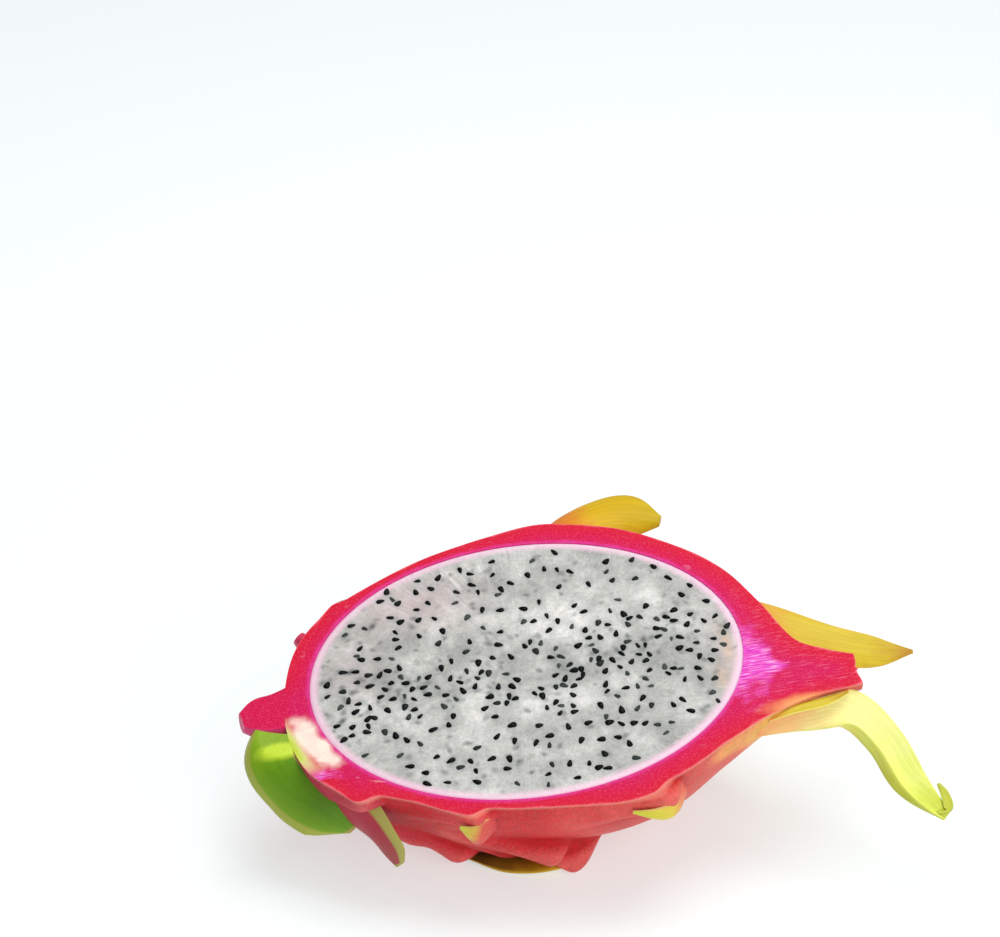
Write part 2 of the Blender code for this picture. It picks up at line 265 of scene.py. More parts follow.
# %% Shield heights
SHIELDS = [
    (-40, 4, 12, 8, 3.5, 4),
    (-16.4, 4, 22, 9, 3.4, 3),
    (23.6, 5, 24, 9, 5, 3.5),
    (0, 36, 34, 12, 5.8, 3.5),
    (5, 46, 24, 15, 9.4, 6),
    (-8.5, 50, 24, 18, 5.4, 8),
    (-19, 50, 24, 15, 7.4, 6),
    (-29.5, 46, 16, 14, 4.8, 7),
    (14, 82, 70, 28, 5, 3.5),
    (36, 84, 30, 14, 4.2, 3.5),
    (-24, 100, 26, 15, 3.6, 3.5),
    (24, 112, 36, 16, 4.6, 3.5),
    (2, 138, 40, 17, 4.8, 3.5),
    (39, 138, 28, 12, 3.8, 3.5),
    (-26, 150, 26, 14, 4, 3.5),
    (20, 172, 24, 11, 3.2, 3.5),
    (-38, 176, 8, 5, 1.8, 3.5),
]
SHIELD_WAIST = 0.45
SHIELD_POINT = 5.0 * MM
SHIELD_LEVEL = 0.35
SHIELD_LEAD = 0.5


def shield_height(s, theta):
    """The fourth root of the summed fourth powers of height x climb squared x drop x how level it is across;
    the tip stands forward, because the sides fall back by the square of the distance from the middle."""
    x, near, far, depth = np.moveaxis(through(STATIONS, s), -1, 0)
    radius = np.sqrt(np.maximum((far - near) / 2 * depth, 0.0))
    total = 0.0
    for apex, angle, length, half_width, height, fall in SHIELDS:
        back = (apex * MM - x) / (length * MM)
        width = half_width * MM * (SHIELD_WAIST + (1 - SHIELD_WAIST) * smooth_step(back))
        edge = np.abs(theta - np.radians(angle)) * radius / width
        past = x - apex * MM + SHIELD_POINT * np.minimum(edge, 1.0) ** 2
        climb = np.maximum(1 + past / (length * MM), 0.0) ** 2
        drop = 1 - smooth_step((past / (fall * MM) + SHIELD_LEAD) / (1 + SHIELD_LEAD))
        across = 1 - smooth_step((edge - SHIELD_LEVEL) / (1 - SHIELD_LEVEL))
        total = total + (height * MM * climb * drop * across) ** 4
    return total**0.25


def skin_point(s, theta):
    """The body point moved outwards by the shields' height."""
    s, theta = np.broadcast_arrays(s, theta)
    return body_point(s, theta) + outward(s, theta) * shield_height(s, theta)[..., None]


print(len(SHIELDS), "shields, up to", max(row[4] for row in SHIELDS), "mm high")

# %% [markdown]
# ## The peel
# The peel is one closed shell: the skin outside, the flat ring that the knife left, the hollow where the
# pulp sits, and the torn face of the neck. The rows of the skin are spaced evenly by length, because the
# folds need the same detail everywhere. The ring's inner edge is the point of the pulp's ellipse in the
# same direction as the rim point: its distance is 1 over the root of (cos / a) squared plus (sin / b)
# squared. The ellipse then moves by 1.2 mm towards the stem end, which thins the ring there.

# %% Peel grid
PULP_HALF_LENGTH = 48.2 * MM
PULP_HALF_WIDTH = 36.1 * MM
PULP_DEPTH = 33.9 * MM
PULP_MIDDLE = np.array([-1.2, 0.0, 0.0]) * MM
SKIN_ROWS, SKIN_COLUMNS = 340, 200
CAP_ROWS, RING_STEPS = 8, 22
HOLLOW_ROWS, HOLLOW_END = 7, 84
ROW_START, LENGTH_STEPS = 0.006, 3000
TORN_DEPTH = 0.35 * MM
TORN_WAVES = (1900, 700)


def even_rows(count):
    """The s of rows at equal steps of the length of the near rim and belly lines together."""
    s = np.linspace(ROW_START, 1.0, LENGTH_STEPS)
    lines = np.concatenate([body_point(s, 0.0), body_point(s, np.pi / 2)], axis=-1)
    length = travelled(lines)
    return np.interp(np.linspace(0.0, length[-1], count), length, s)


def pulp_edge(points):
    """The ellipse's point in the direction of each point from the middle."""
    way = unit(points[..., :2])
    reach = 1 / np.hypot(way[..., 0] / PULP_HALF_LENGTH, way[..., 1] / PULP_HALF_WIDTH)
    return np.concatenate([way * reach[..., None], np.zeros_like(reach)[..., None]], axis=-1)


def nearest(points, line):
    """Distance in mm from each point to the nearest point of a line, one row of points at a time."""
    return np.stack([np.linalg.norm(row[:, None] - line[None], axis=-1).min(axis=1) for row in points]) / MM


def peel_shell():
    """Points, quads, triangles and the first numbers of the cut faces of the closed shell."""
    s, theta = even_rows(SKIN_ROWS)[:, None], np.linspace(0.0, np.pi, SKIN_COLUMNS)[None]
    skin = skin_point(s, theta)
    skin[:, [0, -1], 2] = 0.0
    stem = skin[0, [0, -1]].mean(axis=0)
    core = skin[-1, [0, -1]].mean(axis=0)
    shrink = (1 - np.arange(1, CAP_ROWS) / CAP_ROWS)[:, None, None]
    cap = core + (skin[-1] - core) * shrink
    torn = 1 + np.sin(cap[..., 2] * TORN_WAVES[0] + cap[..., 1] * TORN_WAVES[1])
    cap[..., 0] -= TORN_DEPTH * (1 - shrink[..., 0]) * torn
    n = skin[..., 0].size
    grid = np.arange(n).reshape(skin.shape[:2])
    caps = n + np.arange(cap[..., 0].size).reshape(cap.shape[:2])
    stem_no, core_no = n + caps.size, n + caps.size + 1
    points = np.concatenate([skin.reshape(-1, 3), cap.reshape(-1, 3), [stem, core]])
    loop = np.concatenate([grid[:, 0], caps[:, 0], [core_no], caps[::-1, -1], grid[::-1, -1], [stem_no]])
    rim, edge = points[loop], pulp_edge(points[loop])
    steps = (np.arange(1, RING_STEPS + 1) / RING_STEPS)[:, None, None]
    ring = rim + (edge + PULP_MIDDLE - rim) * steps
    down = np.radians(np.linspace(0, HOLLOW_END, HOLLOW_ROWS + 1)[1:])[:, None]
    level = edge[None, :, :2] * np.cos(down)[..., None]
    depth = np.broadcast_to(-PULP_DEPTH * np.sin(down), level.shape[:2])
    bowl = np.concatenate([level, depth[..., None]], axis=-1)
    inside = len(points) + np.arange((RING_STEPS + HOLLOW_ROWS) * len(loop)).reshape(-1, len(loop))
    pole = len(points) + inside.size
    under = np.concatenate([bowl.reshape(-1, 3), [[0, 0, -PULP_DEPTH]]]) + PULP_MIDDLE
    points = np.concatenate([points, ring.reshape(-1, 3), under])
    rows = np.concatenate([loop[None], inside])
    cap_rows = np.concatenate([grid[-1:], caps])
    skin_quads = band(grid[:-1], grid[1:])
    cut_quads = np.concatenate([band(cap_rows[:-1], cap_rows[1:]), band(rows[:-1], rows[1:], True)])
    triangles = np.concatenate([fan(grid[0], stem_no), fan(caps[-1], core_no), fan(rows[-1], pole, True)])
    return points, skin_quads, cut_quads, triangles, loop, ring, s, theta


PEEL, skin_quads, cut_quads, peel_triangles, rim_loop, cut_ring, skin_s, skin_theta = peel_shell()
peel = add_piece("peel", PEEL, np.concatenate([skin_quads, cut_quads]), peel_triangles, "rind")

# %% [markdown]
# ### Marks on the peel
# The folds get a deeper red, which is painted shade, and the ridges a paler pink, which is a painted
# highlight.
# The skin turns from pink to orange and yellow where a scale grows out. A fold is where the height lies below
# the mean of its neighbours, so the heights are averaged over and over and compared. The cut ring keeps its
# distance from the skin and from the pulp, because its colour runs between them. Other places are round
# marks, each with a centre and a spread in mm and a strength.

# %% Peel marks
WARM_ROOTS = [
    ((54, -23, -5), (17, 6, 7), 1.0),
    ((38, -30, -3), (9, 4, 4), 0.5),
    ((47, 11, -6), (10, 6, 7), 0.9),
    ((10, 37, -5), (9, 5, 6), 0.8),
    ((22, -38, -6), (5, 4, 5), 0.5),
    ((-17, -37, -5), (4, 3, 4), 0.35),
]
AXIL_SHADES = [
    ((-31, -35, -9), (4, 5, 5), 1.3),
    ((-30, -30, -9), (5, 5, 8), 1.1),
    ((-34, -33, -14), (5, 6, 5), 0.9),
    ((-2, -30, -26), (6, 5, 3), 0.7),
]
PURPLE_PATCHES = [
    ((45.5, -8), (6, 9), 1.0),
    ((52, -10.5), (4, 2), 0.6),
    ((-48, -21.5), (4, 2), 0.55),
]
ORANGE_TISSUE = [((58, -22.5, 0), (10, 3.0, 4), 1.2)]
CRIMSON_STUB = [((-54, -2), (4, 7), 4.0)]
STEM_PATCH_X, STEM_PATCH_Y, STEM_PATCH_FADE = -38, (-22, -9), 7
WHITE_MIDDLE, WHITE_REACH = 3.4, 2.6
LIME_START, LIME_RUN = 4.2, 3.4
NICK = [(-42.0, -23.2, 0), (-39.4, -24.6, 0), (-36.0, -25.6, 0)]
NICK_WIDTH = 0.3
FOLD_ROUNDS = 90
FAR_FROM_PULP = 20.0
HIDDEN_SCALES = [
    (36, 84, 8, 15, 2.6),
    (-24, 100, 9, 14, 1),
    (24, 112, 9.5, 16, 2.2),
    (2, 138, 10, 19, 6),
    (39, 138, 8, 17, 5.5),
    (-26, 150, 9.5, 17, 5),
]


def blurred(values, rounds):
    """Each round takes the mean of a point and its four neighbours on the grid."""
    for _ in range(rounds):
        padded = np.pad(values, 1, mode="edge")
        values = (padded[:-2, 1:-1] + padded[2:, 1:-1] + padded[1:-1, :-2] + padded[1:-1, 2:] + values) / 5
    return values


def mark_peel():
    """Folds and pockets for painted shade, ridges for a painted highlight, and warm places on the skin;
    distances and patches on the cut.
    """
    count = skin_s.size * skin_theta.size
    height = shield_height(*np.broadcast_arrays(skin_s, skin_theta)) / MM
    hollow = blurred(height, FOLD_ROUNDS) - height
    fold, ridge = np.zeros(len(PEEL)), np.zeros(len(PEEL))
    # The folds carry painted shade and the ridges a painted highlight in the skin's finish
    fold[:count] = np.clip(hollow, 0, None).ravel()
    # Painted shade: round pockets beside the scales join the folds and take the same deeper red
    fold = fold + spots(PEEL, AXIL_SHADES)
    ridge[:count] = np.clip(-hollow, 0, None).ravel()
    warm = spots(PEEL, WARM_ROOTS)
    for x, angle, *_ in HIDDEN_SCALES:
        root = skin_point(station((x - 1) * MM), np.radians(angle)) / MM
        warm = warm + 0.8 * spot(PEEL, root, (6, 6, 6))
    from_skin, from_pulp = np.zeros(len(PEEL)), np.full(len(PEEL), FAR_FROM_PULP)
    first = count + (CAP_ROWS - 1) * SKIN_COLUMNS + 2
    rings = slice(first, first + cut_ring[..., 0].size)
    rim = PEEL[rim_loop]
    from_skin[rings] = nearest(cut_ring, rim[::2]).ravel()
    line = pulp_edge(rim) + PULP_MIDDLE
    from_pulp[rings] = nearest(cut_ring, line[::2]).ravel()
    from_pulp[rim_loop] = nearest(rim[None], line)[0]
    y = PEEL[:, 1] / MM
    begun, ended = (smooth_step((y - start) / STEM_PATCH_FADE) for start in STEM_PATCH_Y)
    stem_window = begun * (1 - ended) * (PEEL[:, 0] < STEM_PATCH_X * MM)
    from_skin = from_skin + spots(PEEL, CRIMSON_STUB)
    nick = through(NICK, np.linspace(0, 1, 24)) * MM
    scratch = np.exp(-((nearest(PEEL[None], nick)[0] / NICK_WIDTH) ** 2))
    white = np.exp(-np.abs((from_pulp - WHITE_MIDDLE) / WHITE_REACH) ** 3)
    mark(
        peel,
        fruit=PEEL / MM,
        fold=fold,
        ridge=ridge,
        warm=np.clip(warm, 0, 1),
        peach=spots(PEEL, ORANGE_TISSUE),
        from_skin=from_skin,
        from_pulp=from_pulp,
        purple=spots(PEEL, PURPLE_PATCHES),
        white=1.15 * white * stem_window + 0.5 * scratch,
        lime=smooth_step((from_pulp - LIME_START) / LIME_RUN) * stem_window,
    )
    print("deepest fold and highest ridge:", np.round([fold.max(), ridge.max()], 2), "mm")


mark_peel()

# %% [markdown]
# ## Scales and bracts
# A scale is a thick leaf: fleshy where it leaves the skin, thin and a little wavy at its margins. Each one
# is a section carried along a bent middle line. The section is a lens, half width times cos(turn) across
# and half thickness times sin(turn) through, and its middle may cup, or fold over by a given angle along
# one side.

# %% Leaf surface
LEAF_ROWS, LEAF_SIDES, FOLD_STEPS = 72, 40, 64
CUT_LEVEL = -0.05 * MM
FOLD_SHARPNESS = 0.35


def fold_line(across, fold, hinge):
    """The section's middle line when its direction turns by the fold past the hinge: sums of cos and sin."""
    c = np.linspace(-1.0, 1.0, FOLD_STEPS + 1)
    angle = fold[:, None] * smooth_step((c - hinge) / FOLD_SHARPNESS + 0.5)
    step = 2.0 / FOLD_STEPS
    x = np.cumsum(np.cos(angle), axis=1) * step
    y = np.cumsum(np.sin(angle), axis=1) * step
    at = np.clip((across + 1) / step, 0, FOLD_STEPS - 1e-6)
    low, part = at.astype(int), at - at.astype(int)
    middle = slice(FOLD_STEPS // 2, FOLD_STEPS // 2 + 1)
    x_at, y_at, turned = (value[:, low] * (1 - part) + value[:, low + 1] * part for value in (x, y, angle))
    return x_at - x[:, middle], y_at - y[:, middle], turned


def leaf(spine, sides, widths, thicknesses, cup, wave=0.0, waves=3.0, fold=(0.0, 0.0), hinge=0.3, lens=0.5):
    """Middle line + side x half width x across + normal x (cup x across squared + half thickness + ripple),
    all in mm."""
    t = np.linspace(0.0, 1.0, LEAF_ROWS)
    middle = through(spine, t)
    tangent = unit(through(spine, t + 0.01) - through(spine, t - 0.01))
    side = unit(through(sides, t))
    side = unit(side - tangent * (side * tangent).sum(axis=1, keepdims=True))
    normal = np.cross(tangent, side)
    turn = np.linspace(0.0, 2 * np.pi, LEAF_SIDES, endpoint=False)
    across, face = np.cos(turn), np.sin(turn)
    half_width = through(widths, t)[:, None]
    half_thickness = through(thicknesses, t)[:, None] / 2
    x, y, turned = fold_line(across, np.radians(through(fold, t)), hinge)
    thick = half_thickness * face * np.abs(face) ** lens
    phase = 2 * np.pi * waves * t[:, None] + 1.5 * across
    ripple = wave * smooth_step(t * 3)[:, None] * np.sin(phase) * across**2
    wide = half_width * x - thick * np.sin(turned)
    high = half_width * (y + cup * across**2) + thick * np.cos(turned) + ripple
    points = middle[:, None] + side[:, None] * wide[..., None] + normal[:, None] * high[..., None]
    length = travelled(middle)
    along, across, face = np.broadcast_arrays(t[:, None], across, face)
    return points, along, across, face, np.broadcast_to(length[:, None], along.shape), half_width


def add_leaf(name, shape, **extra):
    """A closed leaf with its marks, cut level with the fruit's cut face where it would stand above it."""
    points, along, across, face, length, half_width = leaf(*shape, **extra)
    rows, sides = along.shape
    ends = points[[0, -1]].mean(axis=1)
    flat = np.concatenate([points.reshape(-1, 3), ends]) * MM
    cut = (flat[:, 2] > CUT_LEVEL).astype(float)
    flat[:, 2] = np.minimum(flat[:, 2], CUT_LEVEL)
    quads, triangles = capped(np.arange(rows * sides).reshape(rows, sides))
    item = add_piece(name, flat, quads, triangles, "rind")

    def closed(values, first, last):
        """The values of the rings, then those of the two end points."""
        return np.append(np.ravel(values), [first, last])

    face = closed(face, 0, 0)
    leaf_mm = np.stack([closed(across * half_width, 0, 0), closed(length, 0, length[-1, 0]), face], axis=1)
    along, across = closed(along, 0, 1), closed(across, 0, 0)
    mark(item, fruit=flat / MM, along=along, across=across, face=face, cut=cut, leaf_mm=leaf_mm)
    return item


# %% [markdown]
# ### The leaves that show
# Each leaf has a middle line, the way across it, half widths, thicknesses and a cup. Most are those of the
# plain model. A few differ by some millimetres to follow the fruit more closely, and the lip beside the
# long bract is made here alone. The long bract is folded like a gutter, and most of the others ripple a
# little.

# %% Leaf shapes
LEAVES = {
    "stem_scale": (
        [
            (-57, -7, -2.6),
            (-58.8, -12.6, -4),
            (-55, -17.9, -7.3),
            (-48.9, -22.8, -9.6),
            (-44.6, -26.3, -14.2),
        ],
        [(1, 0, 0), (0.8, 0.1, 0.5), (0.7, 0.1, 0.65)],
        [6.0, 6.6, 6.8, 7.2, 7.9, 7.9, 6.4, 1.2],
        [9.0, 8.0, 6.0, 4.2, 1.6],
        0.1,
    ),
    "stem_stub": (
        [(-50, -1, -3.4), (-57, -1.5, -2.6), (-61.5, -2, -1.8), (-65, -2.6, -1.2)],
        [(0, 1, 0), (0, 1, 0)],
        [9.0, 6.0, 5.0, 2.4],
        [11.0, 9.0, 7.5, 4.0],
        0.0,
    ),
    "rim_scale": (
        [(-46, -22, -7), (-41.4, -27.8, -8.4), (-37.8, -32.6, -11.4), (-35.5, -36.0, -15.8)],
        [(0.25, -0.2, 1), (0.3, -0.1, 0.9)],
        [7.6, 7.1, 5.9, 4.8, 3.8, 1.0],
        [4.4, 3.6, 3.2, 2.2],
        -0.15,
    ),
    "notch_tip": (
        [(-15.6, -36.6, -5.6), (-17.4, -38.6, -5.4), (-19.6, -38.9, -4.6), (-22.0, -38.0, -3.3)],
        [(0.25, 0.1, 1), (0.1, 0, 1)],
        [3.8, 3.9, 2.3, 0.4],
        [3.6, 2.6, 2.0, 0.7],
        0.0,
    ),
    "shoulder_tip": (
        [(25.2, -35.6, -6.0), (23.0, -40.2, -5.6), (19.4, -41.6, -4.6), (14.6, -41.2, -3.4)],
        [(0.3, 0.1, 1), (0.1, 0, 1)],
        [3.6, 2.8, 1.7, 0.4],
        [4.6, 3.4, 2.0, 0.7],
        0.0,
    ),
    "belly_scale": (
        [
            (8, -24, -27),
            (3, -28, -30.4),
            (-4, -29.4, -31.6),
            (-12, -27.8, -31.6),
            (-21.6, -24.8, -31.2),
        ],
        [(0.1, -0.96, 0.27), (0.1, -0.96, 0.27)],
        [5.0, 5.0, 4.8, 4.2, 1.0],
        [3.0, 2.4, 2.2, 1.8, 1.0],
        0.0,
    ),
    "long_bract": (
        [
            (44, -23, -4),
            (56, -21.6, -4),
            (65.4, -22.8, -4.8),
            (71.4, -29.4, -9),
            (75.6, -36.6, -15),
            (83.4, -43.4, -20),
        ],
        [(0.1, -0.3, -1), (-0.3, -0.9, -0.5), (-0.75, -0.5, -0.5), (-0.8, -0.5, -0.4)],
        [2.6, 4.0, 5.2, 5.4, 5.0, 1.2],
        [3.0, 3.2, 2.4, 1.6, 1.5, 1.4],
        -0.25,
    ),
    "bract_hook": (
        [(81.6, -42.4, -19.4), (84, -42.4, -18.8), (83.8, -40.2, -16.8), (82.6, -38.2, -14.8)],
        [(0.5, 0.5, -0.5), (0.8, 0.2, 0)],
        [1.2, 1.6, 1.2, 0.4],
        [1.4, 1.4, 1.1, 0.8],
        0.0,
    ),
    "back_bract": (
        [(47, 9.6, -6), (57, 4.0, -6.5), (68, -1.8, -7.6), (77, -5.0, -8.2), (85, -6.6, -7.8)],
        [(0.3, 1, 0.2), (0.3, 1, 0.3)],
        [5.6, 5.6, 4.8, 3.6, 0.6],
        [3.4, 2.6, 2.0, 1.6, 1.0],
        0.1,
    ),
    "far_scale": (
        [(8, 37, -5.5), (18, 42, -4.4), (27.5, 42.8, -3.2), (36.6, 38.6, -2.2)],
        [(0.2, 1, 0), (-0.2, 1, 0.1)],
        [4.6, 6.2, 6.9, 6.2, 1.4],
        [4.0, 3.0, 2.2, 1.3],
        -0.1,
    ),
    "bract_lip": (
        [(48, -23.6, -2.0), (54, -22.4, -1.3), (61, -21.6, -1.1), (66.6, -20.2, -0.9)],
        [(0, -1, 0.3), (0, -1, 0.3)],
        [0.6, 1.3, 1.5, 0.4],
        [1.0, 1.2, 1.1, 0.6],
        0.2,
    ),
    "rim_curl": (
        [(-45.6, 14.6, -4.6), (-48.4, 18.4, -3.4), (-50, 20.4, -2.8)],
        [(0.8, 0.6, 0), (0.8, 0.6, 0)],
        [2.6, 2.2, 1.6],
        [6.0, 5.0, 3.6],
        0.0,
    ),
}
RIPPLES = {
    "long_bract": dict(fold=(0, 0, -40, -115, -135, -125, -60), hinge=0.5, lens=0.2),
    "stem_scale": dict(wave=0.25, waves=2.0, lens=0.25),
    "stem_stub": dict(lens=0.0),
    "rim_scale": dict(wave=0.3, waves=1.5, lens=0.3),
    "back_bract": dict(wave=0.35, waves=1.5),
    "far_scale": dict(wave=0.3, waves=1.2),
    "belly_scale": dict(wave=0.3, waves=2.0),
    "rim_curl": dict(lens=0.0),
}
leaves = {name: add_leaf(name, shape, **RIPPLES.get(name, {})) for name, shape in LEAVES.items()}

# %% [markdown]
# ### The leaves that the cut face hides
# Round the back and below, the scales stand at their shields' tips. Their middle lines follow the skin and
# lift off it towards the tip, so they are worked out from the body's surface.

# %% Hidden scales
SCALE_TAPER = np.array([0.75, 1.0, 0.72, 0.08])
SCALE_THICKNESS = [4.0, 3.0, 2.0, 1.0]
SCALE_CUP = -0.12


def hidden_shape(x, angle, half_width, length, lift):
    """Four points on the skin from 9 mm before the apex to the tip, moved out by the lift."""
    theta = np.radians(angle)
    along = np.array([-9.0, -1.0, length * 0.5, length])
    out = np.array([-4.5, -0.6, 0.5 + lift * 0.4, lift])
    s = station((x + along) * MM)
    height = shield_height(s, theta) / MM
    height[2:] = height[1] * np.array([0.75, 0.6])
    spine = body_point(s, theta) / MM + outward(s, theta) * (height + out)[:, None]
    across = unit(body_point(s[1:2], theta + 0.01) - body_point(s[1:2], theta - 0.01))[0]
    return spine, [across, across], SCALE_TAPER * half_width, SCALE_THICKNESS, SCALE_CUP


hidden = [
    add_leaf(f"hidden_scale_{i}", hidden_shape(*row), wave=0.3, waves=1.5)
    for i, row in enumerate(HIDDEN_SCALES, 1)
]

# %% [markdown]
# ## The pulp
# The pulp is a bowl with a flat wet top. Its seeds lie all through it, and those just below the cut show as
# grey smudges. Real seeds under a glassy surface would need many render samples, so the smudges are soft
# marks at the points of a fine polar grid: one round mark for each buried seed, stretched along its own
# direction.

# %% Seed places
SEED_COUNT, MORE_SEEDS, BURIED_SEEDS = 200, 110, 460
SEED_REACH = np.array([48.0, 35.9]) * MM
MIDDLE_BAND, LEFT_END, LEFT_REACH = 9 * MM, -42 * MM, (5 * MM, 11 * MM)


def scatter(draw, places, count, spacing, margin, share, left=0.0):
    """Draws places, none nearer than the spacing, until there are enough: more of them along the middle,
    and at the stem end by the left amount."""
    reach_x, reach_y = SEED_REACH - margin
    while len(places) < count:
        x, y = draw.uniform(-1, 1, 2) * (reach_x, reach_y)
        inside = (x / reach_x) ** 2 + (y / reach_y) ** 2 < 1
        wanted = share + (1 - share) * np.exp(-((y / MIDDLE_BAND) ** 2))
        wanted = wanted + left * np.exp(-(((x - LEFT_END) / LEFT_REACH[0]) ** 2) - (y / LEFT_REACH[1]) ** 2)
        turn = draw.uniform(0, 2 * np.pi)
        clear = all(np.hypot(x - px, y - py) > spacing for px, py, _ in places)
        if inside and clear and draw.uniform() < wanted:
            places.append((x, y, turn))
    return places


bare = scatter(np.random.default_rng(7), [], SEED_COUNT, 2.7 * MM, 2.2 * MM, 0.55)
bare = scatter(np.random.default_rng(11), bare, SEED_COUNT + MORE_SEEDS, 1.5 * MM, 1.6 * MM, 0.12, 0.9)
bare = np.array(bare)
buried = np.array(scatter(np.random.default_rng(23), [], BURIED_SEEDS, 0.8 * MM, 1.2 * MM, 0.3, 0.8))
print(len(bare), "bare seeds and", len(buried), "buried ones")

# %% Pulp grid
PULP_ROWS, PULP_SIDES, BOWL_ROWS = 130, 560, 12
PULP_GAP = 0.05 * MM
BOWL_END = 86.0
EDGE_SINK, EDGE_START = 0.25 * MM, 0.985
SMUDGE_LENGTH, SMUDGE_WIDTH, SMUDGE_POWER = 0.75 * MM, 0.5 * MM, 1.3
HALO_WIDTH = 1.5 * MM
NEAR_SEED = 5 * MM
HAIRS = [((-19, 23), (13, 7), 1.0), ((-8, 29), (16, 5), 0.5)]
PINK_PLACES = [((-22, 23), (13, 7), 1.0), ((-38, 6), (6, 9), 0.5), ((44, -6), (4, 14), 0.5)]
TAN_PLACES = [((44.4, -2.5), (1.3, 5), 1.0), ((41.5, -11.5), (1.4, 3.0), 1.0)]
PALE_PLACES = [((15, 11), (16, 8), 1.0), ((4, -11), (14, 5), 1.0), ((-30, -8), (8, 6), 1.0)]


def smudges(points):
    """The sum over buried seeds of e to the minus squared distance to a power, counted in smudge sizes."""
    draw = np.random.default_rng(5)
    depth = draw.uniform(0.15, 0.8, len(buried)) ** 1.5
    size = draw.uniform(0.8, 1.5, len(buried))
    total = np.zeros(len(points))
    for (x, y, turn), strength, scale in zip(buried, depth, size):
        near = np.flatnonzero(np.abs(points[:, 0] - x) + np.abs(points[:, 1] - y) < NEAR_SEED)
        dx, dy = points[near, 0] - x, points[near, 1] - y
        long = (dx * np.cos(turn) + dy * np.sin(turn)) / (SMUDGE_LENGTH * scale)
        short = (dy * np.cos(turn) - dx * np.sin(turn)) / (SMUDGE_WIDTH * scale)
        total[near] += strength * np.exp(-((long**2 + short**2) ** SMUDGE_POWER))
    return np.clip(total, 0, 1)


def halos(points):
    """Greyer pulp round each bare seed, 1.5 mm wide."""
    total = np.zeros(len(points))
    for x, y, _ in bare:
        near = np.flatnonzero(np.abs(points[:, 0] - x) + np.abs(points[:, 1] - y) < NEAR_SEED)
        total[near] += np.exp(-(((points[near, :2] - (x, y)) / HALO_WIDTH) ** 2).sum(axis=1))
    return np.clip(total, 0, 1)


def add_pulp():
    """Rows of ellipses from the middle of the cut to its edge, then down the bowl to its pole."""
    turn = np.linspace(0.0, 2 * np.pi, PULP_SIDES, endpoint=False)[None]
    ratio = (np.arange(1, PULP_ROWS + 1) / PULP_ROWS)[:, None]
    a, b, depth = PULP_HALF_LENGTH - PULP_GAP, PULP_HALF_WIDTH - PULP_GAP, PULP_DEPTH - PULP_GAP
    sink = -EDGE_SINK * smooth_step((ratio - EDGE_START) / (1 - EDGE_START)) + 0 * turn
    top = np.stack([a * ratio * np.cos(turn), b * ratio * np.sin(turn), sink], axis=-1)
    down = np.radians(np.linspace(0.0, BOWL_END, BOWL_ROWS + 1)[1:])[:, None]
    across_x, across_y = a * np.cos(down) * np.cos(turn), b * np.cos(down) * np.sin(turn)
    bowl = np.stack([across_x, across_y, -depth * np.sin(down) + 0 * turn], axis=-1)
    rows = np.concatenate([top, bowl])
    points = np.concatenate([rows.reshape(-1, 3), [[0, 0, 0], [0, 0, -depth]]])
    quads, triangles = capped(np.arange(rows[..., 0].size).reshape(rows.shape[:2]))
    item = add_piece("pulp", points + PULP_MIDDLE, quads, triangles, "flesh")
    edge = pulp_edge(points + [1e-9, 0, 0])
    inward = (np.linalg.norm(edge[:, :2], axis=1) - np.linalg.norm(points[:, :2], axis=1)) / MM
    angle = np.arctan2(points[:, 1] / b, points[:, 0] / a)
    reach = np.hypot(points[:, 0] / a, points[:, 1] / b)
    mark(
        item,
        inward=inward,
        buried=smudges(points),
        halo=halos(points),
        rays=np.stack([np.cos(angle) * 40, np.sin(angle) * 40, reach * 5], axis=1),
        hairs=spots(points, HAIRS) + 0.3 * smooth_step((reach - 0.7) / 0.3),
        pink=spots(points, PINK_PLACES),
        tan=spots(points, TAN_PLACES),
        pale=spots(points, PALE_PLACES),
    )
    return item


pulp = add_pulp()

# %% [markdown]
# ## The seeds
# A dragon fruit seed is a black drop, 1.3 to 2 mm long, with a thin shiny coat. There are hundreds, so one
# drop has only a few dozen faces. All are one mesh, worked out at once: the rings of one drop, times each
# seed's size, turned by its angle, and moved to its place. Some lie a little deeper, under a film of pulp.

# %% Seed mesh
SEED_LENGTH, SEED_WIDTH = 1.9 * MM, 1.4 * MM
SEED_SIDES = 12
SEED_LEVELS = np.array([(0.9, -0.5), (1.0, 0.0), (0.8, 0.22), (0.42, 0.34)])
SEED_TOP, SEED_UNDER, SEED_DEPTH = 0.37 * MM, -0.55 * MM, 0.2 * MM


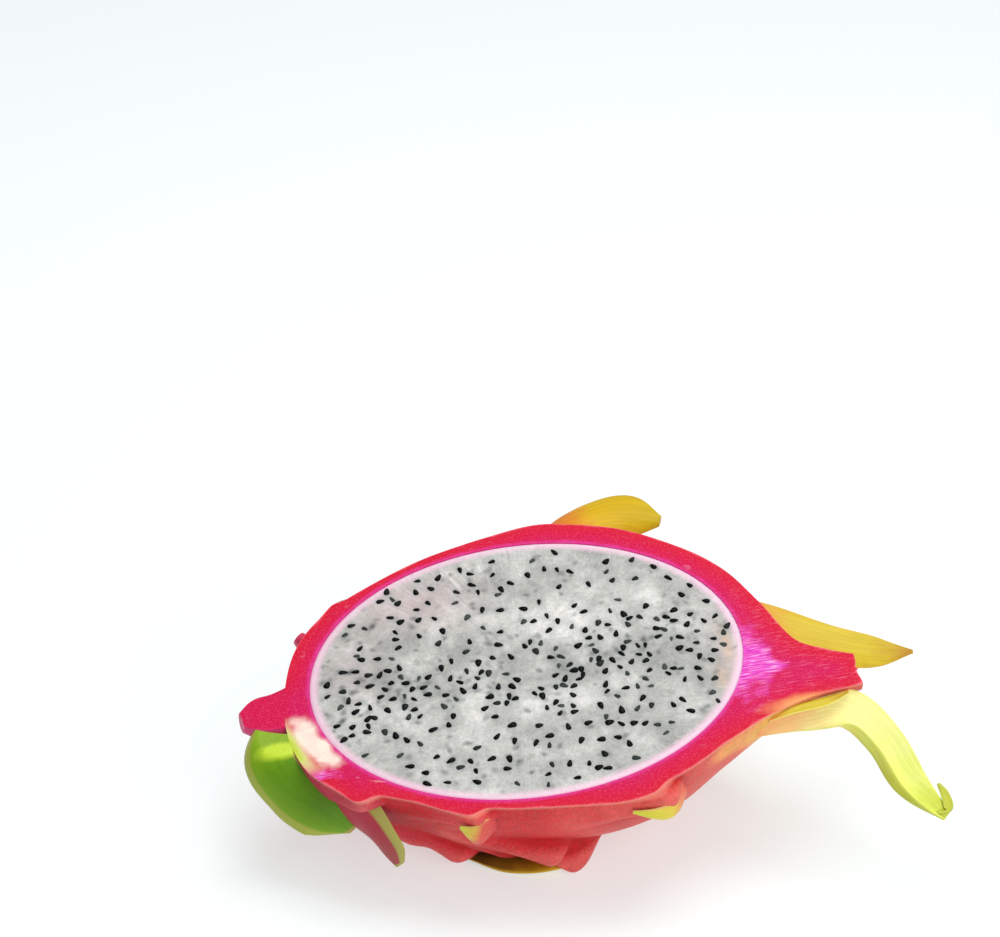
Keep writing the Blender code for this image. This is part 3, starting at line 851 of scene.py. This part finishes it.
def add_seeds():
    """x = half length cos(a) (1 + 0.25 cos(a)), y = half width sin(a) (1 - 0.16 cos(a)), in rings that
    narrow upwards to a point; a level is how wide a ring is and its height in mm."""
    draw = np.random.default_rng(3)
    angles = np.linspace(0.0, 2 * np.pi, SEED_SIDES, endpoint=False)
    drop = SEED_WIDTH / 2 * np.sin(angles) * (1 - 0.16 * np.cos(angles))
    outline = np.stack([SEED_LENGTH / 2 * np.cos(angles) * (1 + 0.25 * np.cos(angles)), drop], axis=1)
    count = len(bare)
    size = draw.uniform(0.85, 1.22, (count, 1, 1, 1))
    slim = draw.uniform(0.66, 1.0, (count, 1, 1))
    film = draw.uniform(0.0, 1.0, count) ** 4
    sink = film[:, None] * SEED_DEPTH
    ring = outline[None, None] * SEED_LEVELS[None, :, 0, None, None] * size
    x, y = ring[..., 0], ring[..., 1] * slim
    cos, sin = np.cos(bare[:, 2])[:, None, None], np.sin(bare[:, 2])[:, None, None]
    lean = draw.uniform(-0.12, 0.12, (count, 1, 1))
    level = SEED_LEVELS[None, :, 1, None] * MM
    height = np.where(level < 0, level, level - sink[..., None] + lean * x)
    px, py = x * cos - y * sin + bare[:, 0, None, None], x * sin + y * cos + bare[:, 1, None, None]
    rings = np.stack([px, py, height], axis=-1)
    top = np.column_stack([bare[:, :2], SEED_TOP - sink[:, 0]])
    under = np.column_stack([bare[:, :2], np.full(count, SEED_UNDER)])
    points = np.concatenate([rings.reshape(count, -1, 3), top[:, None], under[:, None]], axis=1)
    each = points.shape[1]
    grid = np.arange(len(SEED_LEVELS) * SEED_SIDES).reshape(-1, SEED_SIDES)
    quads = band(grid[:-1], grid[1:], True)
    triangles = np.concatenate([fan(grid[-1], each - 2, True), fan(grid[0][::-1], each - 1, True)])
    start = (np.arange(count) * each)[:, None, None]
    item = add_piece(
        "seeds",
        points.reshape(-1, 3) + PULP_MIDDLE,
        (quads[None] + start).reshape(-1, 4),
        (triangles[None] + start).reshape(-1, 3),
        "flesh",
        sharp=80.0,
    )
    mark(item, film=np.repeat(film, each))
    return item


seeds = add_seeds()

# %% [markdown]
# ## Finishes
# The colours are written as the hex codes that a paint program shows, and one function turns them to the
# linear numbers that the shader needs. One function adds a node. Two more hold the steps that every finish
# repeats: a colour laid over the ones before it, and a tone that makes the colour lighter and darker from
# place to place.


# %% Finish helpers
def linear(code):
    """Each sRGB part c: c / 12.92 when it is at most 0.04045, else ((c + 0.055) / 1.055) to the power 2.4."""
    c = np.array([int(code[i : i + 2], 16) for i in (1, 3, 5)]) / 255
    return (*np.where(c <= 0.04045, c / 12.92, ((c + 0.055) / 1.055) ** 2.4).tolist(), 1.0)


def add_node(tree, kind, inputs=None, stops=None, out=0, **settings):
    """One output of a new node; an input that is a socket is linked, and any other is set on its socket."""
    node = tree.nodes.new("ShaderNode" + kind)
    for name, value in settings.items():
        setattr(node, name, value)
    for key, value in (inputs or {}).items():
        if isinstance(value, bpy.types.NodeSocket):
            tree.links.new(value, node.inputs[key])
        else:
            node.inputs[key].default_value = linear(value) if isinstance(value, str) else value
    for i, (place, code) in enumerate(stops or []):
        stop = node.color_ramp.elements[i] if i < 2 else node.color_ramp.elements.new(place)
        stop.position, stop.color = place, linear(code)
    return node.outputs[out]


def layered(add, colour, *layers):
    """Each layer's colour over the last: none of it at the value's start, and its most from the end on."""
    for value, start, end, most, over in layers:
        amount = add("MapRange", {0: value, 1: start, 2: end, 4: most})
        colour = add("Mix", {0: amount, 6: colour, 7: over}, out=2, data_type="RGBA")
    return colour


def toned(add, colour, value, start, end, dark, light):
    """The colour times a tone that runs from dark to light while the value goes from start to end."""
    tone = add("MapRange", {0: value, 1: start, 2: end, 3: dark, 4: light})
    return add("Mix", {0: 1.0, 6: colour, 7: tone}, out=2, data_type="RGBA", blend_type="MULTIPLY")


def new_finish(name, roughness, ior, specular, subsurface=0.0, radius=(1.0, 0.4, 0.25), scale=0.001):
    """A material with fixed numbers on its shader's sockets, its add-node helper, and its object space."""
    finish = bpy.data.materials.new(name)
    finish.use_nodes = True
    shader = finish.node_tree.nodes["Principled BSDF"]
    fixed = {"Roughness": roughness, "IOR": ior, "Specular IOR Level": specular}
    fixed |= {"Subsurface Weight": subsurface, "Subsurface Radius": radius, "Subsurface Scale": scale}
    for key, value in fixed.items():
        shader.inputs[key].default_value = value
    add = partial(add_node, finish.node_tree)
    return finish, add, add("TexCoord", out="Object")


def finished(finish, colour, bump, roughness=None):
    """Links the ends of the build-up to the shader; the roughness only where it varies."""
    tree = finish.node_tree
    for key, value in {"Base Color": colour, "Normal": bump, "Roughness": roughness}.items():
        if value is not None:
            tree.links.new(value, tree.nodes["Principled BSDF"].inputs[key])
    print("finish:", finish.name, len(tree.nodes), "nodes")
    return finish


# %% [markdown]
# ### Leathery skin
# The skin of a ripe fruit is thin, tough and a little waxy. It is coral pink, with fine pale specks, purplish
# at the stem end, and orange to yellow where a scale grows out. Its folds get a deeper red as painted shade,
# and its ridges a paler pink as painted highlight. Wax gives a broad soft shine: roughness about 0.45, and
# the index of refraction of plant wax, 1.45.


# %% Skin finish
def skin_finish():
    """Coral by cloud, then colours by place, painted shade in the folds, painted highlight on the ridges, and
    warmth, pebbles, specks and the cut edge.
    """
    finish, add, place = new_finish("waxy_pink_skin", 0.45, 1.45, 0.2, 0.08, (1.0, 0.3, 0.25), 0.001)
    fruit = add("Attribute", out="Vector", attribute_name="fruit")
    along, _, up = add("SeparateXYZ", {0: fruit}).node.outputs
    warm, fold, ridge = (
        add("Attribute", out="Fac", attribute_name=key) for key in ("warm", "fold", "ridge")
    )
    cloud = add("TexNoise", {"Vector": place, "Scale": 70.0, "Detail": 4.0})
    coral = add("ValToRGB", {0: cloud}, [(0.3, "#b80e1a"), (0.7, "#de4644"), (0.52, "#d0242c")])
    fold_shade = add("MapRange", {0: fold, 1: 0.03, 2: 0.8, 4: 0.9})
    shake = add("Math", {0: cloud, 1: 0.5}, operation="SUBTRACT")
    warmth = add("Math", {0: shake, 1: 0.9, 2: warm}, operation="MULTIPLY_ADD")
    orange = add("ValToRGB", {0: warmth}, [(0.15, "#dd5a55"), (0.95, "#dfc24a"), (0.55, "#ec9a58")])
    # The fold layer is painted shade, deeper red in the folds and in the pockets by the scales; the ridge
    # layer is a painted highlight, paler pink on the ridges
    colour = layered(
        add,
        coral,
        (along, -20.0, -52.0, 0.75, "#a82850"),
        (along, -8.0, 36.0, 0.6, "#e0685a"),
        (fold_shade, 0.0, 1.0, 1.0, "#bc0c14"),
        (ridge, 0.1, 1.2, 0.45, "#e66e68"),
        (warmth, 0.1, 0.5, 1.0, orange),
    )
    # Pebbles about 1 mm across, each a little lighter or darker
    grain = add("TexNoise", {"Vector": place, "Scale": 900.0, "Detail": 3.0})
    colour = toned(add, colour, grain, 0.32, 0.68, 0.86, 1.1)
    # Pale specks, one to about 0.35 mm and weaker in the folds, then a pale line along the skin at the
    # knife's cut
    # that fades in over 0.8 mm: partly the thin translucent margin of the peel, partly a painted highlight on
    # the crisp cut edge
    cells = add("TexVoronoi", {"Vector": place, "Scale": 2900.0})
    speck = add("MapRange", {0: cells, 1: 0.6, 2: 0.1, 4: 0.24})
    open_skin = add("MapRange", {0: fold_shade, 1: 0.1, 2: 0.7, 3: 1.0, 4: 0.1})
    speck = add("Math", {0: speck, 1: open_skin}, operation="MULTIPLY")
    colour = layered(add, colour, (speck, 0.0, 1.0, 1.0, "#f09488"), (up, -0.9, -0.1, 0.55, "#f2a08c"))
    relief = add("Math", {0: grain, 1: cells}, operation="ADD")
    fine = add("Bump", {"Height": relief, "Strength": 0.5, "Distance": 0.00018})
    wrinkle = add("TexNoise", {"Vector": place, "Scale": 160.0, "Detail": 4.0, "Distortion": 0.6})
    bump = add("Bump", {"Height": wrinkle, "Strength": 0.5, "Distance": 0.0012, "Normal": fine})
    dull = add("MapRange", {0: grain, 1: 0.3, 2: 0.7, 3: 0.36, 4: 0.52})
    return finished(finish, colour, bump, dull)


skin = skin_finish()

# %% [markdown]
# ### Cut peel
# Where the knife passed, the peel is wet, dense and grainy. It is crimson by the skin and turns to magenta
# and then bright purple against the pulp. A purple patch with white threads fills the root of the neck, and
# white to lime tissue lies at the stem end. The distances from skin and pulp set the colour, and noise
# breaks the edges.

# %% Cut peel finish
CUT_SHAKES = {"from_skin": 1.6, "from_pulp": 1.2, "purple": 1.3, "white": 1.8, "lime": 0.6, "peach": 0.7}


def cut_finish():
    """Red by distance from the skin, purple by the pulp, threads in the neck, marked patches, and specks."""
    finish, add, place = new_finish("wet_cut_peel", 0.5, 1.36, 0.15, 0.1, (1.0, 0.25, 0.3), 0.0012)
    fruit = add("Attribute", out="Vector", attribute_name="fruit")
    cloud = add("TexNoise", {"Vector": place, "Scale": 220.0, "Detail": 4.0})
    grain = add("TexNoise", {"Vector": place, "Scale": 3200.0, "Detail": 2.0})
    shake = add("Math", {0: cloud, 1: 0.5}, operation="SUBTRACT")
    marks, shaken = {}, {}
    for key, amount in CUT_SHAKES.items():
        marks[key] = add("Attribute", out="Fac", attribute_name=key)
        shaken[key] = add("Math", {0: shake, 1: amount, 2: marks[key]}, operation="MULTIPLY_ADD")
    depth = add("Math", {0: shaken["from_skin"], 1: 6.0}, operation="DIVIDE")
    reds = [(0.0, "#e25468"), (0.9, "#c80852"), (0.07, "#cc0e2e"), (0.45, "#cc063e")]
    red = add("ValToRGB", {0: depth}, reds)
    # Threads along the neck, about 0.3 mm apart
    stretched = add("Mapping", {"Vector": fruit, "Scale": (0.2, 2.4, 2.4)})
    thread = add("TexNoise", {"Vector": stretched, "Scale": 1.4, "Detail": 4.0})
    x = add("SeparateXYZ", {0: fruit}, out="X")
    in_neck = add("MapRange", {0: x, 1: 44.0, 2: 54.0})
    lines = add("MapRange", {0: thread, 1: 0.56, 2: 0.74, 4: 0.45})
    lines = add("Math", {0: lines, 1: in_neck}, operation="MULTIPLY")
    # Patches with colours of their own; the white one keeps inside its mark
    purple = add("ValToRGB", {0: thread}, [(0.35, "#c022a4"), (0.7, "#f4b8e8"), (0.52, "#e44cc0")])
    whiteness = add("MapRange", {0: shaken["white"], 1: 0.1, 2: 0.8, 4: 0.95})
    in_patch = add("MapRange", {0: marks["white"], 1: 0.04, 2: 0.4})
    whiteness = add("Math", {0: whiteness, 1: in_patch}, operation="MULTIPLY")
    cream = add("ValToRGB", {0: cloud}, [(0.35, "#f2d8cc"), (0.6, "#f4ead8")])
    lime = add("ValToRGB", {0: shaken["lime"]}, [(0.4, "#e6dfb0"), (1.0, "#bcd040")])
    colour = layered(
        add,
        red,
        (shaken["from_pulp"], 1.1, 0.1, 0.8, "#d63c9c"),
        (lines, 0.0, 1.0, 1.0, "#f59ab4"),
        (shaken["purple"], 0.25, 0.75, 1.0, purple),
        (whiteness, 0.0, 1.0, 1.0, cream),
        (shaken["lime"], 0.1, 0.8, 1.0, lime),
        (shaken["peach"], 0.3, 0.95, 0.95, "#eea262"),
        (grain, 0.5, 0.75, 0.25, "#f77f9c"),
    )
    bump = add("Bump", {"Height": grain, "Strength": 0.4, "Distance": 0.00015})
    return finished(finish, colour, bump)


cut_peel = cut_finish()

# %% [markdown]
# ### Leaf finishes
# The scales share one build-up and differ in colour: a ramp along each face, fine lengthwise veins, a
# margin in another colour, and paler flesh where the knife cut through. Young leaf flesh lets some light
# in, so a little of it is scattered below the surface.

# %% Leaf finishes
MARGIN_STEP, MARGIN_RUN = 0.1, 0.4


def leaf_finish(
    name,
    margin,
    upper,
    lower=None,
    cut="#e9ef9c",
    margin_from=0.86,
    margin_amount=0.8,
    margin_start=-0.4,
    roughness=0.4,
    painted_highlight=None,
):
    """The upper and lower ramps run along the leaf, and the face chooses between them; veins, margin, cut.
    The margin fades in along the leaf from its start. The painted highlight is a pale line of painted light:
    its place in the fruit frame, how quickly it fades along each axis, its colour, and a lighter colour
    painted as light on the leaf's side by it."""
    finish, add, place = new_finish(name, roughness, 1.42, 0.22, 0.12, (0.8, 0.9, 0.3), 0.0012)
    leaf_mm = add("Attribute", out="Vector", attribute_name="leaf_mm")
    along, across, face, knife = (
        add("Attribute", out="Fac", attribute_name=key) for key in ("along", "across", "face", "cut")
    )
    cloud = add("TexNoise", {"Vector": place, "Scale": 180.0, "Detail": 4.0})
    shake = add("Math", {0: cloud, 1: 0.5}, operation="SUBTRACT")
    run = add("Math", {0: shake, 1: 0.35, 2: along}, operation="MULTIPLY_ADD")
    above, below = (add("ValToRGB", {0: run}, stops) for stops in (upper, lower or upper))
    colour = layered(add, below, (face, -0.15, 0.15, 1.0, above))
    # Veins along the leaf, about 0.6 mm apart
    stretched = add("Mapping", {"Vector": leaf_mm, "Scale": (1.6, 0.1, 0.3)})
    vein = add("TexNoise", {"Vector": stretched, "Scale": 1.0, "Detail": 4.0})
    colour = toned(add, colour, vein, 0.3, 0.7, 0.92, 1.07)
    # The margin is the two sides and the tip
    out = add("Math", {0: across}, operation="ABSOLUTE")
    tip = add("MapRange", {0: along, 1: 0.9, 2: 1.0})
    out = add("Math", {0: out, 1: tip}, operation="MAXIMUM")
    edge = add("MapRange", {0: out, 1: margin_from, 2: margin_from + MARGIN_STEP, 4: margin_amount})
    begun = add("MapRange", {0: along, 1: margin_start, 2: margin_start + MARGIN_RUN})
    edge = add("Math", {0: edge, 1: begun}, operation="MULTIPLY")
    colour = layered(add, colour, (edge, 0.0, 1.0, 1.0, margin), (knife, 0.3, 0.7, 1.0, cut))
    # Painted light: a pale painted highlight line across the leaf, and the leaf's side by it made lighter as
    # if lit
    if painted_highlight:
        centre, fading, highlight_colour, lit_side_colour = painted_highlight
        fruit = add("Attribute", out="Vector", attribute_name="fruit")
        away = add("VectorMath", {0: fruit, 1: centre}, operation="SUBTRACT")
        away = add("VectorMath", {0: away, 1: fading}, operation="MULTIPLY")
        away = add("VectorMath", {0: away}, out="Value", operation="LENGTH")
        away = add("Math", {0: shake, 1: 0.5, 2: away}, operation="MULTIPLY_ADD")
        colour = layered(add, colour, (away, 1.1, 0.6, 0.9, highlight_colour), (across, -0.1, -0.95, 0.6, lit_side_colour))
    grain = add("TexNoise", {"Vector": place, "Scale": 1200.0, "Detail": 2.0})
    fine = add("Bump", {"Height": grain, "Strength": 0.25, "Distance": 0.0001})
    bump = add("Bump", {"Height": vein, "Strength": 0.35, "Distance": 0.0003, "Normal": fine})
    return finished(finish, colour, bump)


GREEN = [(0.0, "#8fb01e"), (1.0, "#6a9620"), (0.3, "#5e8c14"), (0.7, "#568018")]
STRAW = [(0.0, "#d88038"), (1.0, "#b4821e"), (0.3, "#d0b834"), (0.7, "#ceb82e")]
LIME = [(0.0, "#e09048"), (1.0, "#b0b22e"), (0.3, "#e6d864"), (0.55, "#d8e06a"), (0.8, "#c6cc44")]
PALE = [(0.0, "#ee9e66"), (1.0, "#d0d850"), (0.3, "#f4e696"), (0.5, "#f3f2a0"), (0.8, "#eaf082")]
FINISHES = {
    "stem_scale": leaf_finish(
        "thick_green_scale",
        "#b79c5e",
        GREEN,
        cut="#84a628",
        margin_from=0.66,
        margin_amount=0.9,
        roughness=0.3,
        # Painted highlight line and a lit side on the green scale
        painted_highlight=((-57.5, -12.6, 0.0), (0.17, 0.45, 0.2), "#c3dc3a", "#8fb424"),
    ),
    "stem_stub": leaf_finish("magenta_stub", "#d8507e", [(0.0, "#c01a5e"), (1.0, "#c93a6c")], cut="#dc2660"),
    "rim_scale": leaf_finish(
        "pink_scale_green_edge",
        "#a3ab55",
        [(0.0, "#b82c48"), (1.0, "#a0504c"), (0.5, "#ac3846")],
        [(0.0, "#b82f4c"), (1.0, "#b07a52"), (0.5, "#b4443c")],
        cut="#dc2660",
        margin_from=0.62,
    ),
    "notch_tip": leaf_finish(
        "small_yellow_tip",
        "#dcc070",
        [(0.0, "#cc4248"), (1.0, "#ccd04c"), (0.45, "#d65c50"), (0.7, "#d8b450")],
        cut="#d83850",
    ),
    "shoulder_tip": leaf_finish(
        "curled_yellow_tip",
        "#ecc08c",
        [(0.0, "#dc5850"), (1.0, "#ccd040"), (0.2, "#e89478"), (0.42, "#e8d458")],
        [(0.0, "#dc5850"), (1.0, "#ccd040"), (0.2, "#e08860"), (0.42, "#e0ca4c")],
        cut="#d83850",
    ),
    # Yellow at the root to dark brown at the tip: the dark end is painted shade where the tip lies under the
    # belly, over the tip's own olive
    "belly_scale": leaf_finish(
        "belly_scale_painted_shade",
        "#d8c040",
        [(0.0, "#e8c838"), (1.0, "#54401a"), (0.45, "#d4ac24"), (0.68, "#8c6c20")],
    ),
    "long_bract": leaf_finish("folded_lime_bract", "#dfe070", LIME, PALE, margin_amount=0.5),
    "bract_hook": leaf_finish("lime_hook", "#ccd068", [(0.0, "#b4bc34"), (1.0, "#c0c44c")]),
    "bract_lip": leaf_finish(
        "yellow_lip", "#eadc80", [(0.0, "#e8944c"), (1.0, "#c8cc3c"), (0.4, "#e6c850")], STRAW
    ),
    "back_bract": leaf_finish("ochre_bract", "#d2a53a", STRAW, margin_amount=0.5),
    "far_scale": leaf_finish(
        "ochre_scale",
        "#b89820",
        [(0.0, "#d8402c"), (1.0, "#c0a414"), (0.25, "#dc7c2c"), (0.5, "#d4ac18")],
        STRAW,
        margin_amount=0.5,
    ),
    "rim_curl": leaf_finish(
        "crimson_curl",
        "#e06080",
        [(0.0, "#d01c4c"), (1.0, "#d83060")],
        [(0.0, "#c02040"), (1.0, "#d04060")],
        cut="#dc2050",
    ),
}
hidden_finish = leaf_finish(
    "pink_to_green_scale",
    "#c9a860",
    [(0.0, "#c82432"), (1.0, "#96aa34"), (0.35, "#d65044"), (0.6, "#d8a048"), (0.8, "#c0b83c")],
    [(0.0, "#c82432"), (1.0, "#96aa34"), (0.35, "#d24a44"), (0.6, "#d89444"), (0.8, "#bcb43c")],
    margin_start=0.25,
)

# %% [markdown]
# ### Moist pulp
# The pulp is a water-clear foam of cells, greyish white, cloudy where it is drier. Light goes a few
# millimetres into it, so it has no hard shading, and its wet surface gives small sharp glints. Pale pink
# runs along its edge, white threads lie in a few places, and grey smudges show the seeds just below.


# %% Pulp finish
def pulp_finish():
    """A cloudy ramp, threads by their mark, pink and tan places, grey round seeds, and pink at the edge."""
    finish, add, place = new_finish("moist_white_pulp", 0.3, 1.36, 0.35, 0.5, (1.0, 0.85, 0.75), 0.002)
    rays = add("Attribute", out="Vector", attribute_name="rays")
    pale, hairs, pink, tan, halo, buried_mark, inward = (
        add("Attribute", out="Fac", attribute_name=key)
        for key in ("pale", "hairs", "pink", "tan", "halo", "buried", "inward")
    )
    cloud = add("TexNoise", {"Vector": place, "Scale": 110.0, "Detail": 6.0, "Roughness": 0.6})
    lift = add("Math", {0: pale, 1: 0.22, 2: cloud}, operation="MULTIPLY_ADD")
    greys = [(0.3, "#979894"), (0.8, "#dedcd9"), (0.5, "#b2b2ae"), (0.64, "#c7c7c3")]
    colour = add("ValToRGB", {0: lift}, greys)
    # The sacs of the pulp, about 1.6 mm, and finer fluff of about 0.6 mm, each a little lighter or darker
    sacs = add("TexNoise", {"Vector": place, "Scale": 620.0, "Detail": 3.0, "Roughness": 0.7})
    fluff = add("TexNoise", {"Vector": place, "Scale": 1700.0, "Detail": 2.0})
    colour = toned(add, colour, sacs, 0.3, 0.7, 0.86, 1.12)
    colour = toned(add, colour, fluff, 0.35, 0.65, 0.92, 1.09)
    thread = add("TexNoise", {"Vector": rays, "Scale": 1.1, "Detail": 5.0, "Distortion": 1.1})
    fibre = add("MapRange", {0: thread, 1: 0.52, 2: 0.7, 4: 0.5})
    fibre = add("Math", {0: fibre, 1: hairs}, operation="MULTIPLY")
    tan = add("Math", {0: tan, 1: cloud}, operation="MULTIPLY")
    shake = add("Math", {0: cloud, 1: 0.5}, operation="SUBTRACT")
    inward = add("Math", {0: shake, 1: 1.5, 2: inward}, operation="MULTIPLY_ADD")
    colour = layered(
        add,
        colour,
        (fibre, 0.0, 1.0, 1.0, "#f4f1ef"),
        (pink, 0.0, 1.0, 0.55, "#cdb4b6"),
        (tan, 0.0, 1.0, 1.0, "#e2b48c"),
        (halo, 0.0, 1.0, 0.35, "#8c918d"),
        (buried_mark, 0.03, 0.9, 0.9, "#4d5552"),
        (inward, 2.4, 0.5, 0.95, "#f0c8dc"),
    )
    cells = add("TexNoise", {"Vector": place, "Scale": 700.0, "Detail": 4.0})
    fine = add("Bump", {"Height": cells, "Strength": 0.35, "Distance": 0.00025})
    bump = add("Bump", {"Height": thread, "Strength": 0.25, "Distance": 0.0004, "Normal": fine})
    gloss = add("MapRange", {0: cells, 1: 0.35, 2: 0.65, 3: 0.2, 4: 0.42})
    return finished(finish, colour, bump, gloss)


def seed_finish():
    """Black seed coat, greyer where a film of pulp lies over it."""
    finish, add, place = new_finish("black_seed_coat", 0.35, 1.4, 0.1)
    film = add("Attribute", out="Fac", attribute_name="film")
    grain = add("TexNoise", {"Vector": place, "Scale": 2500.0, "Detail": 2.0})
    coat = add("ValToRGB", {0: grain}, [(0.3, "#030404"), (0.75, "#0c1010")])
    colour = layered(add, coat, (film, 0.1, 1.0, 0.8, "#4c5451"))
    bump = add("Bump", {"Height": grain, "Strength": 0.3, "Distance": 0.00005})
    return finished(finish, colour, bump)


moist_pulp, seed_coat = pulp_finish(), seed_finish()

# %% Put the finishes on
quad_count = len(skin_quads) + len(cut_quads)
stem_fan = SKIN_COLUMNS - 1
slots = np.zeros(len(peel.data.polygons), np.int32)
slots[len(skin_quads) : quad_count] = 1
slots[quad_count + stem_fan :] = 1
peel.data.materials.append(skin)
peel.data.materials.append(cut_peel)
peel.data.polygons.foreach_set("material_index", slots)
for name, finish in FINISHES.items():
    leaves[name].data.materials.append(finish)
stub = leaves["stem_stub"].data
stub.materials.append(cut_peel)
level = np.zeros(len(stub.vertices))
stub.attributes["cut"].data.foreach_get("value", level)
cut_faces = [int(level[list(face.vertices)].min() > 0.5) for face in stub.polygons]
stub.polygons.foreach_set("material_index", cut_faces)
mark(leaves["stem_stub"], from_skin=np.full(len(level), 4.0), from_pulp=np.full(len(level), 20.0))
for item in hidden:
    item.data.materials.append(hidden_finish)
pulp.data.materials.append(moist_pulp)
seeds.data.materials.append(seed_coat)

# %% [markdown]
# ## Floor, light and camera
# The half lies on a plain white floor. One large soft light stands above and a little behind, and a weaker
# one fills the front. The camera looks down by 30 degrees through a 100 mm lens, as for a product shot.

# %% Floor
FLOOR_REACH = 3.0
corners = [(x * FLOOR_REACH, y * FLOOR_REACH, 0) for x, y in ((-1, -1), (1, -1), (1, 1), (-1, 1))]
floor_mesh = bpy.data.meshes.new("floor")
floor_mesh.from_pydata(corners, [], [(0, 1, 2, 3)])
floor = new_object("floor", floor_mesh)
matt_white, add, place = new_finish("matt_white_paper", 0.8, 1.45, 0.1)
tooth = add("TexNoise", {"Vector": place, "Scale": 900.0})
paper = add("ValToRGB", {0: tooth}, [(0.0, "#acb7b7"), (1.0, "#b2bdbd")])
finished(matt_white, paper, None)
floor_shader = matt_white.node_tree.nodes["Principled BSDF"]
floor_shader.inputs["Emission Color"].default_value = (1.0, 0.99, 0.99, 1.0)
floor_shader.inputs["Emission Strength"].default_value = 0.53
floor_mesh.materials.append(matt_white)


# %% Lights
def add_light(name, place, aim, size, power, colour):
    """A square soft light that faces its aim."""
    data = bpy.data.lights.new(name, "AREA")
    data.shape, data.size, data.energy, data.color = "SQUARE", size, power, linear(colour)[:3]
    lamp = new_object(name, data)
    lamp.location = place
    lamp.rotation_mode = "QUATERNION"
    lamp.rotation_quaternion = (Vector(place) - Vector(aim)).to_track_quat("Z", "Y")


add_light("top_light", (0.14, 0.12, 0.8), (0.0, 0.0, 0.0), 0.55, 4.5, "#ffffff")
add_light("front_fill", (0.35, -0.65, 0.5), (0.0, 0.0, 0.02), 0.6, 3.2, "#ffffff")
world = bpy.data.worlds.new("white_room")
world.use_nodes = True
world.node_tree.nodes["Background"].inputs["Color"].default_value = (1.0, 1.0, 1.0, 1.0)
world.node_tree.nodes["Background"].inputs["Strength"].default_value = 0.42
bpy.context.scene.world = world
bpy.context.scene.view_settings.view_transform = "Standard"

# %% Camera
AZIMUTH, ELEVATION = np.radians(-8.0), np.radians(30.0)
CAMERA_AIM, CAMERA_DISTANCE = (-7.13, 0.0, 90.34), 587.27
level_x, level_y = np.sin(AZIMUTH) * np.cos(ELEVATION), -np.cos(AZIMUTH) * np.cos(ELEVATION)
back = Vector((level_x, level_y, np.sin(ELEVATION)))
camera_data = bpy.data.cameras.new("camera")
camera_data.lens, camera_data.sensor_width = 100.0, 36.0
camera_data.clip_start, camera_data.clip_end = 0.01, 20.0
camera = new_object("camera", camera_data)
camera.location = Vector(CAMERA_AIM) * MM + back * CAMERA_DISTANCE * MM
camera.rotation_mode = "QUATERNION"
camera.rotation_quaternion = back.to_track_quat("Z", "Y")
bpy.context.scene.camera = camera

# %% Update the scene
bpy.context.view_layer.update()
